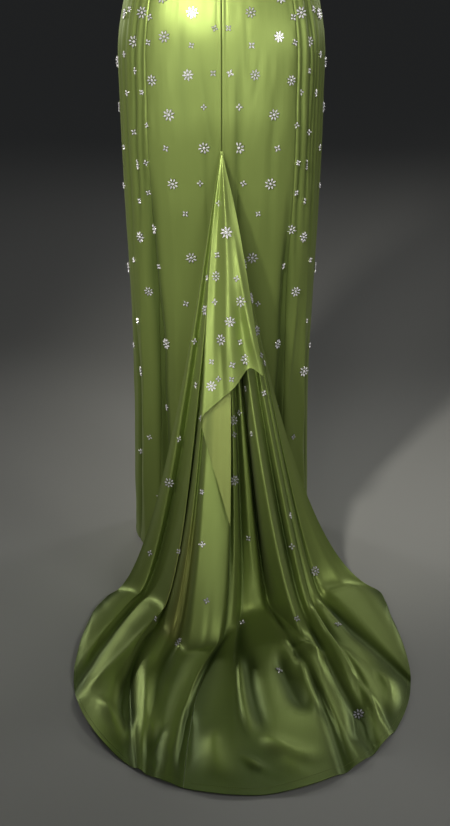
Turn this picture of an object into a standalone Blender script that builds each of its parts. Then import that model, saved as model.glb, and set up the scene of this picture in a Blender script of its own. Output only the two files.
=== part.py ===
"""An evening gown in satin: a strapped bodice, a column skirt, and a draped train with a cascade over it.

It is shown as it is worn, hollow, with its straps where shoulders hold them. Units are metres and +Z is up.
The origin is midway between the two straps, at the level where they rest on the shoulders.
-Y is the wearer's back, where the train lies, and +X the wearer's right.
Tables give heights above the floor. Each piece of cloth is a closed wall with its own object.
"""

from math import cos, pi, radians, sin

import bmesh
import bpy
import numpy as np

# Driving sizes
SHOULDER_HEIGHT = 1.460  # floor to the underside of the straps
WAIST_HEIGHT = 1.120
HEM_HEIGHT = 0.006
APEX_HEIGHT = 0.775  # where the train leaves the centre back seam
CLOTH = 0.0012  # wall of the fitted panels
TRAIN_CLOTH = 0.0028  # wall of the train in the direction its folds stand, less square to their steep sides
SEAM_GAP = 0.0003
SIDE_BACK_SEAM = 43.0  # degrees round from the centre back
NUDGE, NUDGE_DEGREES = 0.001, 0.5  # small steps that a normal is taken over

# Colours and finish
ROUGHNESS = 0.35
SHARP_ANGLE = 50.0  # degrees, above which an edge is drawn sharp
SATIN_GREEN = (0.30, 0.36, 0.10, 1.0)
SATIN_DEEP = (0.24, 0.30, 0.08, 1.0)
SATIN_LIGHT = (0.38, 0.44, 0.15, 1.0)

# The gown's level sections, from hem to bodice top: back and front are depths from the side line.
BODY_SECTIONS = (
    # height, half_width, back, front
    (0.000, 0.168, 0.120, 0.118),
    (0.380, 0.162, 0.108, 0.104),
    (0.550, 0.167, 0.112, 0.098),
    (0.700, 0.172, 0.122, 0.098),
    (0.840, 0.174, 0.131, 0.100),
    (0.950, 0.172, 0.128, 0.100),
    (1.040, 0.152, 0.106, 0.094),
    (1.120, 0.126, 0.084, 0.083),
    (1.200, 0.132, 0.087, 0.092),
    (1.290, 0.145, 0.094, 0.104),
    (1.340, 0.144, 0.096, 0.100),
    (1.420, 0.134, 0.092, 0.086),
)
ROUNDNESS = 2.25  # exponent of the sections: 2 is an ellipse
SKIRT_ROWS, BODICE_ROWS = 12, 7
PLEATED_TO, PLEATED_STEP = 95.0, 3.25  # degrees from the centre back that the pleats reach, their columns
PLAIN_COLUMNS, BACK_COLUMNS = 8, 8  # columns from there to the centre front, and across each back
BODICE_BACK_COLUMNS, BODICE_FRONT_COLUMNS = 10, 26

# Soft pleats that hang from the waist at the sides, on either side of the side back seams.
SIDE_PLEATS = (
    # angle in degrees from centre back, + towards the wearer's right; depth; half the width in degrees
    (-47.5, -0.0022, 3.0),
    (-56.0, -0.0030, 3.6),
    (-67.0, -0.0020, 4.0),
    (47.0, -0.0022, 2.6),
    (53.5, -0.0034, 3.0),
    (60.5, -0.0046, 3.2),
    (68.0, -0.0030, 3.2),
    (76.0, -0.0020, 3.6),
)
PLEAT_GROWS = (0.12, 0.55)  # heights between which the side pleats reach their depth
PLEAT_ENDS = (1.06, 1.12)  # and between which they are taken into the waist seam

# Top edge of the bodice: a low V back, and a shallow V front between two points that take the straps.
BODICE_TOP = (
    # angle in degrees from centre back, height
    (0.0, 1.185),
    (20.0, 1.218),
    (40.0, 1.262),
    (65.0, 1.305),
    (90.0, 1.325),
    (115.0, 1.338),
    (142.0, 1.384),
    (160.0, 1.350),
    (180.0, 1.312),
)
CUP_OFFSET, CUP_HEIGHT, CUP_DEPTH = 0.066, 1.280, 0.020
CUP_WIDTH, CUP_TALL = 0.046, 0.052

STRAP_WIDTH = 0.009
STRAP_BACK, STRAP_FRONT = 40.0, 142.0  # degrees from the centre back at which a strap leaves the bodice
STRAP_OVER_SHOULDER = (
    # x, y, height of one strap's underside between its two ends, from back to front
    (0.0940, -0.0990, 1.320),
    (0.0940, -0.0900, 1.390),
    (0.0950, -0.0620, 1.440),
    (0.0960, -0.0200, SHOULDER_HEIGHT - 0.001),
    (0.0940, 0.0150, SHOULDER_HEIGHT - 0.001),
    (0.0900, 0.0500, 1.438),
)
STRAP_STEPS = 18

# The train is a fan of fold lines that run from the apex to a round hem on the floor.
# mid_x is the line's place at about 0.21 m up, land where it reaches the floor, bend the way it turns there,
# hem its angle round the hem outline. hang is how far the line stands out while the cloth hangs,
# lift how high its crest is on the floor, and brk how sharply the fall breaks there: 0 sweeps on to the
# floor, and at 0.15 it comes down at 30 degrees.
TRAIN_LINES = (
    # name, mid_x, land_x, land_y, bend_x, bend_y, hem_angle, hang, lift, brk
    ("left_edge", -0.1050, -0.196, -0.235, -0.220, -0.275, -15.0, 0.000, 0.000, 0.00),
    ("left_crest", -0.0945, -0.160, -0.265, -0.208, -0.370, -2.0, 0.012, 0.013, 0.00),
    ("left_hollow", -0.0780, -0.148, -0.268, -0.196, -0.400, 13.0, -0.012, 0.001, 0.00),
    ("second_crest", -0.0635, -0.116, -0.335, -0.165, -0.470, 26.0, 0.018, 0.024, 0.02),
    ("deep_gap", -0.0520, -0.112, -0.355, -0.172, -0.485, 52.0, -0.014, 0.000, 0.06),
    ("gold_crest", -0.0455, -0.095, -0.385, -0.142, -0.500, 56.0, 0.005, 0.011, 0.10),
    ("gold_hollow", -0.0385, -0.076, -0.400, -0.118, -0.510, 59.0, -0.007, 0.002, 0.12),
    ("panel_left", -0.0260, -0.055, -0.430, -0.095, -0.530, 62.0, 0.004, 0.005, 0.16),
    ("panel_right", 0.0085, -0.013, -0.412, -0.074, -0.530, 66.0, 0.008, 0.009, 0.16),
    ("centre_gap", 0.0160, 0.007, -0.390, -0.052, -0.512, 71.5, -0.014, 0.000, 0.14),
    ("third_crest", 0.0230, 0.023, -0.354, -0.004, -0.520, 84.0, 0.007, 0.006, 0.18),
    ("third_hollow", 0.0295, 0.034, -0.328, 0.022, -0.530, 96.0, -0.012, 0.001, 0.14),
    ("fourth_crest", 0.0415, 0.068, -0.312, 0.090, -0.460, 115.0, 0.012, 0.013, 0.14),
    ("right_gap", 0.0535, 0.090, -0.300, 0.153, -0.473, 122.0, -0.018, 0.000, 0.06),
    ("fifth_crest", 0.0680, 0.136, -0.390, 0.160, -0.550, 128.0, 0.018, 0.012, 0.12),
    ("broad_hollow", 0.0920, 0.152, -0.345, 0.178, -0.470, 134.0, -0.016, 0.000, 0.02),
    ("sixth_crest", 0.1020, 0.158, -0.330, 0.200, -0.480, 141.0, 0.012, 0.020, 0.00),
    ("narrow_hollow", 0.1110, 0.168, -0.310, 0.205, -0.445, 147.0, -0.010, 0.001, 0.00),
    ("seventh_crest", 0.1150, 0.176, -0.295, 0.222, -0.430, 156.0, 0.004, 0.010, 0.00),
    ("last_hollow", 0.1187, 0.184, -0.275, 0.232, -0.385, 170.0, -0.010, 0.000, 0.00),
    ("last_crest", 0.1225, 0.205, -0.245, 0.262, -0.345, 177.0, 0.008, 0.016, 0.00),
    ("right_edge", 0.1365, 0.285, -0.222, 0.292, -0.275, 196.0, 0.000, 0.000, 0.00),
)
CENTRE_GAP = 9  # the line in TRAIN_LINES along which the two halves of the train are sewn
HEM_CENTRE = (0.033, -0.460)
HEM_HALF_WIDTH, HEM_REACH, HEM_RETURN = 0.272, 0.310, 0.560  # reach outwards, return towards the skirt
TRAIN_TOP_HALF_WIDTH = 0.0055
TRAIN_TOP_CLEARANCE = 0.0035  # face of the train to the face of the skirt, at the apex
MID_SHARE = 0.48  # share of the way out, in plan, at which a line is at mid_x
HANGING_ROWS, FLOOR_ROWS, STEPS_BETWEEN_LINES = 8, 5, 3
LAND_SHARE = HANGING_ROWS / (HANGING_ROWS + FLOOR_ROWS)
FINE_ROWS = 10  # rows worked out for each row that is made, over which the corners are rounded
# Fine rows over which a line is rounded, in plan and in height: first one that sweeps, then one that breaks.
PLAN_SOFTNESS, CRISP_PLAN_SOFTNESS = 7.3, 3.0
SIDE_SOFTNESS, BREAK_SOFTNESS = 5.0, 2.0
FULL_BREAK, CRISP_SHARE = 0.12, 0.6  # the brk from which a line breaks, and how much of it stays crisp
LYING_FROM = 0.30  # share of the fall at which the folds start to turn into crests on the floor
CREST_FADE = 0.65  # how much of its height a crest loses on the way to the hem

# The cascade hangs from the apex over the train. Its front layer folds back at the left and returns below.
CASCADE_SECTIONS = (
    # height, right edge of the front layer, left fold, right end of the back layer, front y, back y
    (0.770, 0.0030, -0.0030, 0.0020, -0.1420, -0.1380),
    (0.690, 0.0215, -0.0125, 0.0080, -0.1645, -0.1575),
    (0.600, 0.0390, -0.0205, 0.0110, -0.1880, -0.1795),
    (0.500, 0.0555, -0.0270, 0.0135, -0.2155, -0.2060),
    (0.400, 0.0730, -0.0320, 0.0150, -0.2475, -0.2370),
    (0.300, 0.0850, -0.0380, 0.0155, -0.2830, -0.2720),
    (0.140, 0.0950, -0.0440, 0.0140, -0.3520, -0.3405),
)
CASCADE_HEM = (
    # share of the way across, from 0 at the right edge and 0.5 at the left fold; height of the hem
    (0.00, 0.424),
    (0.08, 0.436),
    (0.22, 0.412),
    (0.36, 0.382),
    (0.50, 0.348),
    (0.66, 0.296),
    (0.82, 0.246),
    (1.00, 0.184),
)
CASCADE_SWELL = 0.010  # how far the front layer bows outwards between its edges
SWELL_WIDTH = 0.06  # half width from which the front layer has its whole swell
FOLD_SHARE = 0.06  # half the share of the width that the round fold takes
CASCADE_COLUMNS, CASCADE_ROWS = 18, 9


def smooth(table_x, table_y, x):
    """A curve through the table's points, without corners."""
    table_x, table_y, x = (np.asarray(v, float) for v in (table_x, table_y, x))
    slopes = np.gradient(table_y, table_x)
    i = np.clip(np.searchsorted(table_x, x, side="right") - 1, 0, len(table_x) - 2)
    gap = table_x[i + 1] - table_x[i]
    t = (x - table_x[i]) / gap
    rise = table_y[i] * (1 + 2 * t) * (1 - t) ** 2 + table_y[i + 1] * t * t * (3 - 2 * t)
    return rise + gap * (slopes[i] * t * (1 - t) ** 2 - slopes[i + 1] * t * t * (1 - t))


def column(table, index):
    return np.array([row[index] for row in table], float)


def ramp(value, start, end):
    """0 at start to 1 at end, with a soft start and finish."""
    t = np.clip((value - start) / (end - start), 0.0, 1.0)
    return t * t * (3 - 2 * t)


def body_section(height):
    """half_width, back and front of the gown's level section."""
    heights = column(BODY_SECTIONS, 0)
    return [float(smooth(heights, column(BODY_SECTIONS, i), height)) for i in (1, 2, 3)]


def body_point(height, degrees):
    """A point on the gown, without pleats or cups. 0 degrees is the centre back, 90 the wearer's right."""
    half_width, back, front = body_section(height)
    s, c = sin(radians(degrees)), cos(radians(degrees))
    x = half_width * np.sign(s) * abs(s) ** (2 / ROUNDNESS)
    y = -(back if c > 0 else front) * np.sign(c) * abs(c) ** (2 / ROUNDNESS)
    return np.array((x, y, height - SHOULDER_HEIGHT))


def skirt_point(height, degrees):
    """Body point moved in by the side pleats, which grow from knee height up."""
    wrapped = (degrees + 180.0) % 360.0 - 180.0
    depth = sum(d * np.exp(-(((wrapped - a) / w) ** 2)) for a, d, w in SIDE_PLEATS)
    depth *= float(ramp(height, *PLEAT_GROWS) * ramp(height, *reversed(PLEAT_ENDS)))
    out = np.array((sin(radians(degrees)), -cos(radians(degrees)), 0.0))
    return body_point(height, degrees) + out * depth


def bodice_point(height, degrees):
    """Body point moved out by the two cups."""
    point = body_point(height, degrees)
    if point[1] > 0:
        across = (abs(point[0]) - CUP_OFFSET) / CUP_WIDTH
        up = (height - CUP_HEIGHT) / CUP_TALL
        point[1] += CUP_DEPTH * np.exp(-across * across - up * up)
    return point


def face_normals(grid):
    """Unit normals of a grid of points, with rows going down and columns to +X, so that they point to -Y."""
    down = np.gradient(grid, axis=0)
    across = np.gradient(grid, axis=1)
    normal = np.cross(down, across)
    return normal / np.linalg.norm(normal, axis=2, keepdims=True)


def outward(point_at, height, degrees):
    """The normal of the gown's face at one place, the same for the two pieces that meet there."""
    up = point_at(height + NUDGE, degrees) - point_at(height - NUDGE, degrees)
    round_body = point_at(height, degrees + NUDGE_DEGREES) - point_at(height, degrees - NUDGE_DEGREES)
    normal = np.cross(round_body, up)
    return normal / np.linalg.norm(normal)


def open_seam(grid, edge):
    """Draws one edge column of a grid, 0 or -1, back by half of the gap at a seam."""
    inward = grid[:, 1 if edge == 0 else -2] - grid[:, edge]
    grid[:, edge] += inward * (SEAM_GAP / 2 / np.linalg.norm(inward, axis=1, keepdims=True))


def material(name, colour):
    made = bpy.data.materials.new(name)
    made.use_nodes = True
    shader = made.node_tree.nodes["Principled BSDF"]
    shader.inputs["Base Color"].default_value = colour
    shader.inputs["Roughness"].default_value = ROUGHNESS
    shader.inputs["Metallic"].default_value = 0.0
    made.diffuse_color = colour
    return made


def cloth_wall(name, face, reverse, cloth):
    """One closed wall of cloth between two grids of points, the face and the reverse, as its own object."""
    rows, columns = face.shape[:2]
    bm = bmesh.new()
    front = [[bm.verts.new(face[r, c]) for c in range(columns)] for r in range(rows)]
    back = [[bm.verts.new(reverse[r, c]) for c in range(columns)] for r in range(rows)]
    for r in range(rows - 1):
        for c in range(columns - 1):
            bm.faces.new((front[r][c], front[r + 1][c], front[r + 1][c + 1], front[r][c + 1]))
            bm.faces.new((back[r][c], back[r][c + 1], back[r + 1][c + 1], back[r + 1][c]))
    for r in range(rows - 1):
        bm.faces.new((front[r][0], back[r][0], back[r + 1][0], front[r + 1][0]))
        bm.faces.new((front[r][-1], front[r + 1][-1], back[r + 1][-1], back[r][-1]))
    for c in range(columns - 1):
        bm.faces.new((front[0][c], front[0][c + 1], back[0][c + 1], back[0][c]))
        bm.faces.new((front[-1][c], back[-1][c], back[-1][c + 1], front[-1][c + 1]))
    bmesh.ops.triangulate(bm, faces=bm.faces)
    bmesh.ops.recalc_face_normals(bm, faces=bm.faces)
    mesh = bpy.data.meshes.new(name)
    bm.to_mesh(mesh)
    bm.free()
    mesh.shade_smooth()
    mesh.set_sharp_from_angle(angle=radians(SHARP_ANGLE))
    mesh.materials.append(cloth)
    made = bpy.data.objects.new(name, mesh)
    bpy.context.scene.collection.objects.link(made)
    return made


def panel(name, point_at, angles, tops, bottom, row_count, cloth):
    """A fitted panel between two seams, from its top edge, a height for each angle, to a level bottom."""
    shares = np.linspace(0, 1, row_count + 1)
    heights = [[top + (bottom - top) * share for top in tops] for share in shares]
    face = np.array([[point_at(h, a) for a, h in zip(angles, row)] for row in heights])
    normals = np.array([[outward(point_at, h, a) for a, h in zip(angles, row)] for row in heights])
    reverse = face - CLOTH * normals
    for grid in (face, reverse):
        open_seam(grid, 0)
        open_seam(grid, -1)
    cloth_wall(name, face, reverse, cloth)


def make_skirt(cloth):
    """Two smooth back panels with a seam between them, and one front that wraps to the side back seams."""
    side = np.arange(SIDE_BACK_SEAM, PLEATED_TO, PLEATED_STEP)
    plain = np.linspace(side[-1], 180.0, PLAIN_COLUMNS + 1)[1:]
    half = np.concatenate([side, plain])
    spans = {
        "skirt_back_left": np.linspace(-SIDE_BACK_SEAM, 0.0, BACK_COLUMNS + 1),
        "skirt_back_right": np.linspace(0.0, SIDE_BACK_SEAM, BACK_COLUMNS + 1),
        "skirt_front": np.concatenate([half, 360.0 - half[-2::-1]]),
    }
    for name, angles in spans.items():
        tops = [WAIST_HEIGHT - SEAM_GAP] * len(angles)
        panel(name, skirt_point, angles, tops, HEM_HEIGHT, SKIRT_ROWS, cloth)


def make_bodice(cloth):
    """Two back panels and one front, from the waist seam up to the shaped top edge."""
    spans = {
        "bodice_back_left": np.linspace(-90.0, 0.0, BODICE_BACK_COLUMNS + 1),
        "bodice_back_right": np.linspace(0.0, 90.0, BODICE_BACK_COLUMNS + 1),
        "bodice_front": np.linspace(90.0, 270.0, BODICE_FRONT_COLUMNS + 1),
    }
    for name, angles in spans.items():
        turned = np.abs((angles + 180.0) % 360.0 - 180.0)
        panel(name, bodice_point, angles, bodice_top(turned), WAIST_HEIGHT, BODICE_ROWS, cloth)


def bodice_top(degrees):
    """Height of the bodice's top edge at an angle either side of the centre back."""
    return smooth(column(BODICE_TOP, 0), column(BODICE_TOP, 1), degrees)


def make_straps(cloth):
    """A flat strap over each shoulder, from the top of the bodice back to the top point of the front."""
    rise = np.array((0.0, 0.0, SEAM_GAP))
    start, end = (bodice_point(bodice_top(a), a) + rise for a in (STRAP_BACK, STRAP_FRONT))
    over = np.array(STRAP_OVER_SHOULDER) - (0.0, 0.0, SHOULDER_HEIGHT)
    points = np.vstack([start, over, end])
    stations = np.arange(len(points))
    fine = np.linspace(0, len(points) - 1, STRAP_STEPS)
    middle = np.stack([smooth(stations, points[:, i], fine) for i in range(3)], axis=1)
    along = np.gradient(middle, axis=0)
    out = np.stack([np.zeros(len(fine)), -along[:, 2], along[:, 1]], axis=1)
    out /= np.linalg.norm(out, axis=1, keepdims=True)
    for name, side in (("strap_left", -1), ("strap_right", 1)):
        line = middle * (side, 1, 1)
        half = np.array((STRAP_WIDTH / 2, 0.0, 0.0))
        under = np.stack([line - half, line, line + half], axis=1)
        cloth_wall(name, under + CLOTH * out[:, None, :], under, cloth)


def between_lines(values, line):
    """A value given on each fold line, carried across with round crests and hollows."""
    i = np.clip(np.floor(line).astype(int), 0, len(values) - 2)
    return values[i] + (values[i + 1] - values[i]) * (1 - np.cos(pi * (line - i))) / 2


def train_base(line, share):
    """The train without its folds, for a row of fold lines and a column of shares from apex to hem."""
    numbers = np.arange(len(TRAIN_LINES))
    mid_x, land_x, land_y, bend_x, bend_y, hem = (
        smooth(numbers, column(TRAIN_LINES, i), line) for i in range(1, 7)
    )
    top_x = TRAIN_TOP_HALF_WIDTH * (2 * line / numbers[-1] - 1)
    top_y = -(body_section(APEX_HEIGHT)[1] + TRAIN_TOP_CLEARANCE)
    turn = np.radians(hem)
    reach = np.where(np.sin(turn) > 0, HEM_REACH, HEM_RETURN)
    hem_x = HEM_CENTRE[0] - HEM_HALF_WIDTH * np.cos(turn)
    hem_y = HEM_CENTRE[1] - reach * np.sin(turn)
    q = np.clip(share / LAND_SHARE, 0.0, 1.0)
    p = np.clip((share - LAND_SHARE) / (1 - LAND_SHARE), 0.0, 1.0)
    m = MID_SHARE
    hang_x = top_x * (q - m) * (q - 1) / m + land_x * q * (q - m) / (1 - m)
    hang_x += mid_x * q * (q - 1) / (m * (m - 1))
    hang_y = top_y + (land_y - top_y) * q
    lie_x = land_x * (1 - p) ** 2 + 2 * bend_x * p * (1 - p) + hem_x * p * p
    lie_y = land_y * (1 - p) ** 2 + 2 * bend_y * p * (1 - p) + hem_y * p * p
    over = 1 / (1 + between_lines(column(TRAIN_LINES, 9), line))
    drop = ((1 - q * over) ** 2 - (1 - over) ** 2) / (1 - (1 - over) ** 2)
    landed = share > LAND_SHARE
    x, y = np.where(landed, lie_x, hang_x), np.where(landed, lie_y, hang_y)
    return np.stack([x, y, TRAIN_CLOTH + (APEX_HEIGHT - TRAIN_CLOTH) * drop - SHOULDER_HEIGHT], axis=-1)


def soften(grid, reach):
    """Rounds the corners of a grid of points down its rows, over a reach in rows, and keeps its ends."""
    span = int(3 * reach)
    weights = np.exp(-0.5 * (np.arange(-span, span + 1) / reach) ** 2)
    before = 2 * grid[:1] - grid[span:0:-1]
    after = 2 * grid[-1:] - grid[-2 : -span - 2 : -1]
    longer = np.concatenate([before, grid, after])
    rounded = np.zeros(grid.shape)
    for step, weight in enumerate(weights / weights.sum()):
        rounded += weight * longer[step : step + len(grid)]
    return rounded


def rounded_base(line, share):
    """The train without its folds, swept on to the floor where brk is low and broken where it is high."""
    base = train_base(line, share)
    crisp = np.clip(between_lines(column(TRAIN_LINES, 9), line) / FULL_BREAK, 0.0, 1.0)[..., None]
    plan = soften(base, PLAN_SOFTNESS) * (1 - CRISP_SHARE * crisp)
    plan += soften(base, CRISP_PLAN_SOFTNESS) * CRISP_SHARE * crisp
    height = soften(base, SIDE_SOFTNESS) * (1 - crisp) + soften(base, BREAK_SOFTNESS) * crisp
    return np.concatenate([plan[..., :2], height[..., 2:]], axis=-1)


def train_depth(line, share):
    """How far the cloth stands off the base: folds while it hangs, low crests once it lies."""
    hang, lift = (between_lines(column(TRAIN_LINES, i), line) for i in (7, 8))
    q = np.clip(share / LAND_SHARE, 0.0, 1.0)
    p = np.clip((share - LAND_SHARE) / (1 - LAND_SHARE), 0.0, 1.0)
    lying = ramp(q, LYING_FROM, 1.0)
    return (1 - lying) * hang * np.minimum(q / MID_SHARE, 1.0) + lying * lift * (1 - CREST_FADE * p)


def fold_direction(base):
    """Unit directions square to the fall of the train and level across it, in which its folds stand out."""
    fall = np.gradient(base, axis=0)
    out = np.stack([0 * fall[..., 0], fall[..., 2], -fall[..., 1]], axis=-1)
    return out / np.linalg.norm(out, axis=-1, keepdims=True)


def make_train(cloth):
    """Left and right halves, sewn along the centre gap."""
    last = len(TRAIN_LINES) - 1
    lines = np.linspace(0, last, last * STEPS_BETWEEN_LINES + 1)[None, :]
    shares = np.linspace(0, 1, (HANGING_ROWS + FLOOR_ROWS) * FINE_ROWS + 1)[:, None]
    base = rounded_base(lines, shares)
    out = fold_direction(base)
    face = base + out * train_depth(lines, shares)[..., None]
    face, out = face[::FINE_ROWS], out[::FINE_ROWS]
    reverse = face - TRAIN_CLOTH * out
    seam = CENTRE_GAP * STEPS_BETWEEN_LINES
    halves = {"train_left": (slice(0, seam + 1), -1), "train_right": (slice(seam, None), 0)}
    for name, (columns, edge) in halves.items():
        half_face, half_reverse = face[:, columns].copy(), reverse[:, columns].copy()
        for grid in (half_face, half_reverse):
            open_seam(grid, edge)
            grid[:, :, 2] = np.maximum(grid[:, :, 2], -SHOULDER_HEIGHT)
        cloth_wall(name, half_face, half_reverse, cloth)


def cascade_point(across, height):
    """A point of the cascade: the front layer from right to left, a round fold, then the back layer."""
    heights = column(CASCADE_SECTIONS, 0)[::-1]
    right, left, back_end, front_y, back_y = (
        float(smooth(heights, column(CASCADE_SECTIONS, i)[::-1], height)) for i in range(1, 6)
    )
    radius = abs(front_y - back_y) / 2
    flat = 0.5 - FOLD_SHARE
    if across < flat:
        t = across / flat
        swell = CASCADE_SWELL * sin(pi * t) * min(1.0, right / SWELL_WIDTH)
        return right + (left + radius - right) * t, front_y - swell
    if across > 0.5 + FOLD_SHARE:
        t = (across - 0.5 - FOLD_SHARE) / flat
        return left + radius + (back_end - left - radius) * t, back_y
    turn = pi * (across - flat) / (2 * FOLD_SHARE)
    return left + radius * (1 - sin(turn)), (front_y + back_y) / 2 - radius * cos(turn)


def make_cascade(cloth):
    """One cloth folded in two layers, its hem slanting down from the right edge to the end of the back."""
    shares = np.linspace(0, 1, CASCADE_COLUMNS + 1)
    hems = smooth(column(CASCADE_HEM, 0), column(CASCADE_HEM, 1), shares)
    top = CASCADE_SECTIONS[0][0]
    face = np.zeros((CASCADE_ROWS + 1, len(shares), 3))
    for c, (across, hem) in enumerate(zip(shares, hems)):
        for r in range(CASCADE_ROWS + 1):
            height = top + (hem - top) * r / CASCADE_ROWS
            x, y = cascade_point(across, height)
            face[r, c] = x, y, height - SHOULDER_HEIGHT
    face = face[:, ::-1]
    cloth_wall("cascade", face, face - CLOTH * face_normals(face), cloth)


def main():
    for old in list(bpy.data.objects):
        bpy.data.objects.remove(old)
    make_bodice(material("satin_light", SATIN_LIGHT))
    skirt_satin = material("satin_green", SATIN_GREEN)
    make_straps(skirt_satin)
    make_skirt(skirt_satin)
    make_train(material("satin_deep", SATIN_DEEP))
    make_cascade(skirt_satin)


main()
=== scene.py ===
from math import cos, pi, radians, sin

import bpy
import numpy as np
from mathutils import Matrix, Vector


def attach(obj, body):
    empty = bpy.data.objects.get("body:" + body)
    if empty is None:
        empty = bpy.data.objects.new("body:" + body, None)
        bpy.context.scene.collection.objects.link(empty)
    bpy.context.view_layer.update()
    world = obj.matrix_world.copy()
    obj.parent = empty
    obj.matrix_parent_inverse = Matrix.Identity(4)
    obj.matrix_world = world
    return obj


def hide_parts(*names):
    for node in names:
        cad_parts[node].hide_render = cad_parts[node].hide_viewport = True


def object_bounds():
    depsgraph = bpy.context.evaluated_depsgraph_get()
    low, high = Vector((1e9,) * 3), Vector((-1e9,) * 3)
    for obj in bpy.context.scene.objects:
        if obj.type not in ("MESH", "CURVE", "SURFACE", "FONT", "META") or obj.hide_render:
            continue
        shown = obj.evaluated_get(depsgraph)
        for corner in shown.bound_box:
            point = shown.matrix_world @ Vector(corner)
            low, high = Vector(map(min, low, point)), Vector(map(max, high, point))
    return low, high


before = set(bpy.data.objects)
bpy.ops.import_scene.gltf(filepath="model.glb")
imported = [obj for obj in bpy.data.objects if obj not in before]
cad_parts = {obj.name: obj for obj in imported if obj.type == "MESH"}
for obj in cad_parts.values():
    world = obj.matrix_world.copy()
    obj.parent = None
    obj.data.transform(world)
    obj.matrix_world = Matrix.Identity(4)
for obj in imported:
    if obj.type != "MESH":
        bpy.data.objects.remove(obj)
cad_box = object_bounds()
floor_level = cad_box[0].z


# ---- The studio ----
# A plain pale floor, and lamps: a small one high at the wearer's left that draws the shadow of the train,
# two broad ones on the back and the front, and weak wide ones round about. The camera stands at chest height
# behind the wearer and looks down on the train.
CAMERA_PLACE = (0.0055, -2.10, floor_level + 1.15)
CAMERA_PITCH = 23.1  # degrees below the horizon
LENS, FILM = 52.3, 36.0  # millimetres
FLOOR_SIZE = 40.0


def lamp(name, kind, place, aim, power, colour):
    """A lamp on a stand, turned towards a place."""
    light = bpy.data.lights.new(name, kind)
    light.energy = power
    light.color = colour
    stand = bpy.data.objects.new(name, light)
    stand.location = place
    stand.rotation_euler = (Vector(aim) - Vector(place)).to_track_quat("-Z", "Y").to_euler()
    bpy.context.scene.collection.objects.link(stand)
    return light


def add_node(tree, kind, settings, inputs):
    """A new node with its properties set, and each input given a value or linked to an output."""
    node = tree.nodes.new(kind)
    for name, value in settings.items():
        setattr(node, name, value)
    for name, value in inputs.items():
        if isinstance(value, bpy.types.NodeSocket):
            tree.links.new(value, node.inputs[name])
        else:
            node.inputs[name].default_value = value
    return node


def plain_material(name, colour, roughness, metallic):
    """A node material of one colour, and its shader."""
    made = bpy.data.materials.new(name)
    made.use_nodes = True
    shader = made.node_tree.nodes["Principled BSDF"]
    shader.inputs["Base Color"].default_value = (*colour, 1.0)
    shader.inputs["Roughness"].default_value = roughness
    shader.inputs["Metallic"].default_value = metallic
    return made, shader


def vary_roughness(shader, pattern, least, most):
    """Lets a pattern from 0 to 1 move a shader's roughness between two values."""
    between = {"Value": pattern, "To Min": least, "To Max": most}
    spread_out = add_node(shader.id_data, "ShaderNodeMapRange", {}, between)
    shader.id_data.links.new(spread_out.outputs["Result"], shader.inputs["Roughness"])


floor_mesh = bpy.data.meshes.new("studio_floor")
half_floor = FLOOR_SIZE / 2
corners = [(x * half_floor, y * half_floor, floor_level) for x, y in ((-1, -1), (1, -1), (1, 1), (-1, 1))]
floor_mesh.from_pydata(corners, [], [(0, 1, 2, 3)])
floor_paint, floor_shader = plain_material("pale_floor", (0.44, 0.44, 0.43), 0.7, 0.0)
speckle = add_node(floor_paint.node_tree, "ShaderNodeTexNoise", {}, {"Scale": 3.0, "Detail": 6.0})
vary_roughness(floor_shader, speckle.outputs["Fac"], 0.64, 0.76)
floor_mesh.materials.append(floor_paint)
studio_floor = bpy.data.objects.new("studio_floor", floor_mesh)
bpy.context.scene.collection.objects.link(studio_floor)

WARM_LIGHT, PALE_LIGHT, WIDE_LIGHT = (1.0, 0.97, 0.86), (1.0, 0.99, 0.92), (1.0, 0.99, 0.94)
SPOT_LAMPS = (
    # name, place, aim, power, colour, size, width of the beam in degrees
    ("key_lamp", (-0.66, -1.45, 0.30), (0.0, -0.15, -0.70), 89.0, WARM_LIGHT, 0.08, 44),
    ("fill_lamp", (-0.35, -2.20, -0.05), (0.01, -0.20, -0.76), 100.0, PALE_LIGHT, 0.40, 21),
    ("front_lamp", (0.60, 2.40, 0.55), (0.0, 0.05, -0.48), 50.0, PALE_LIGHT, 0.50, 26),
)
for name, place, aim, power, colour, size, beam in SPOT_LAMPS:
    spot = lamp(name, "SPOT", place, aim, power, colour)
    spot.shadow_soft_size = size
    spot.spot_size = radians(beam)
    spot.spot_blend = 1.0
WIDE_LAMPS = (
    # name, place, aim, power, size, width of the beam in degrees
    ("low_right", (0.65, -1.94, -0.70), (0.0, -0.20, -0.52), 1.15, 0.6, 80),
    ("low_left", (-1.09, -1.71, -0.70), (0.0, -0.20, -0.52), 0.95, 0.6, 80),
    ("high_right", (1.46, -1.37, -0.10), (0.0, -0.20, -0.80), 2.7, 0.6, 120),
    ("front_left", (-1.60, 1.50, -0.35), (-0.15, -0.50, -1.45), 0.95, 0.5, 60),
    ("front_right", (1.70, 1.30, -0.35), (0.20, -0.50, -1.45), 0.80, 0.5, 60),
    ("front_soft", (0.30, 2.60, 0.90), (0.0, 0.0, -0.80), 4.5, 1.6, 180),
)
for name, place, aim, power, size, beam in WIDE_LAMPS:
    disk = lamp(name, "AREA", place, aim, power, WIDE_LIGHT)
    disk.shape = "DISK"
    disk.size = size
    disk.spread = radians(beam)

world = bpy.data.worlds.new("studio_air")
world.use_nodes = True
world.node_tree.nodes["Background"].inputs["Color"].default_value = (0.80, 0.84, 0.88, 1.0)
world.node_tree.nodes["Background"].inputs["Strength"].default_value = 0.035
bpy.context.scene.world = world
bpy.context.scene.view_settings.view_transform = "Standard"

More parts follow.
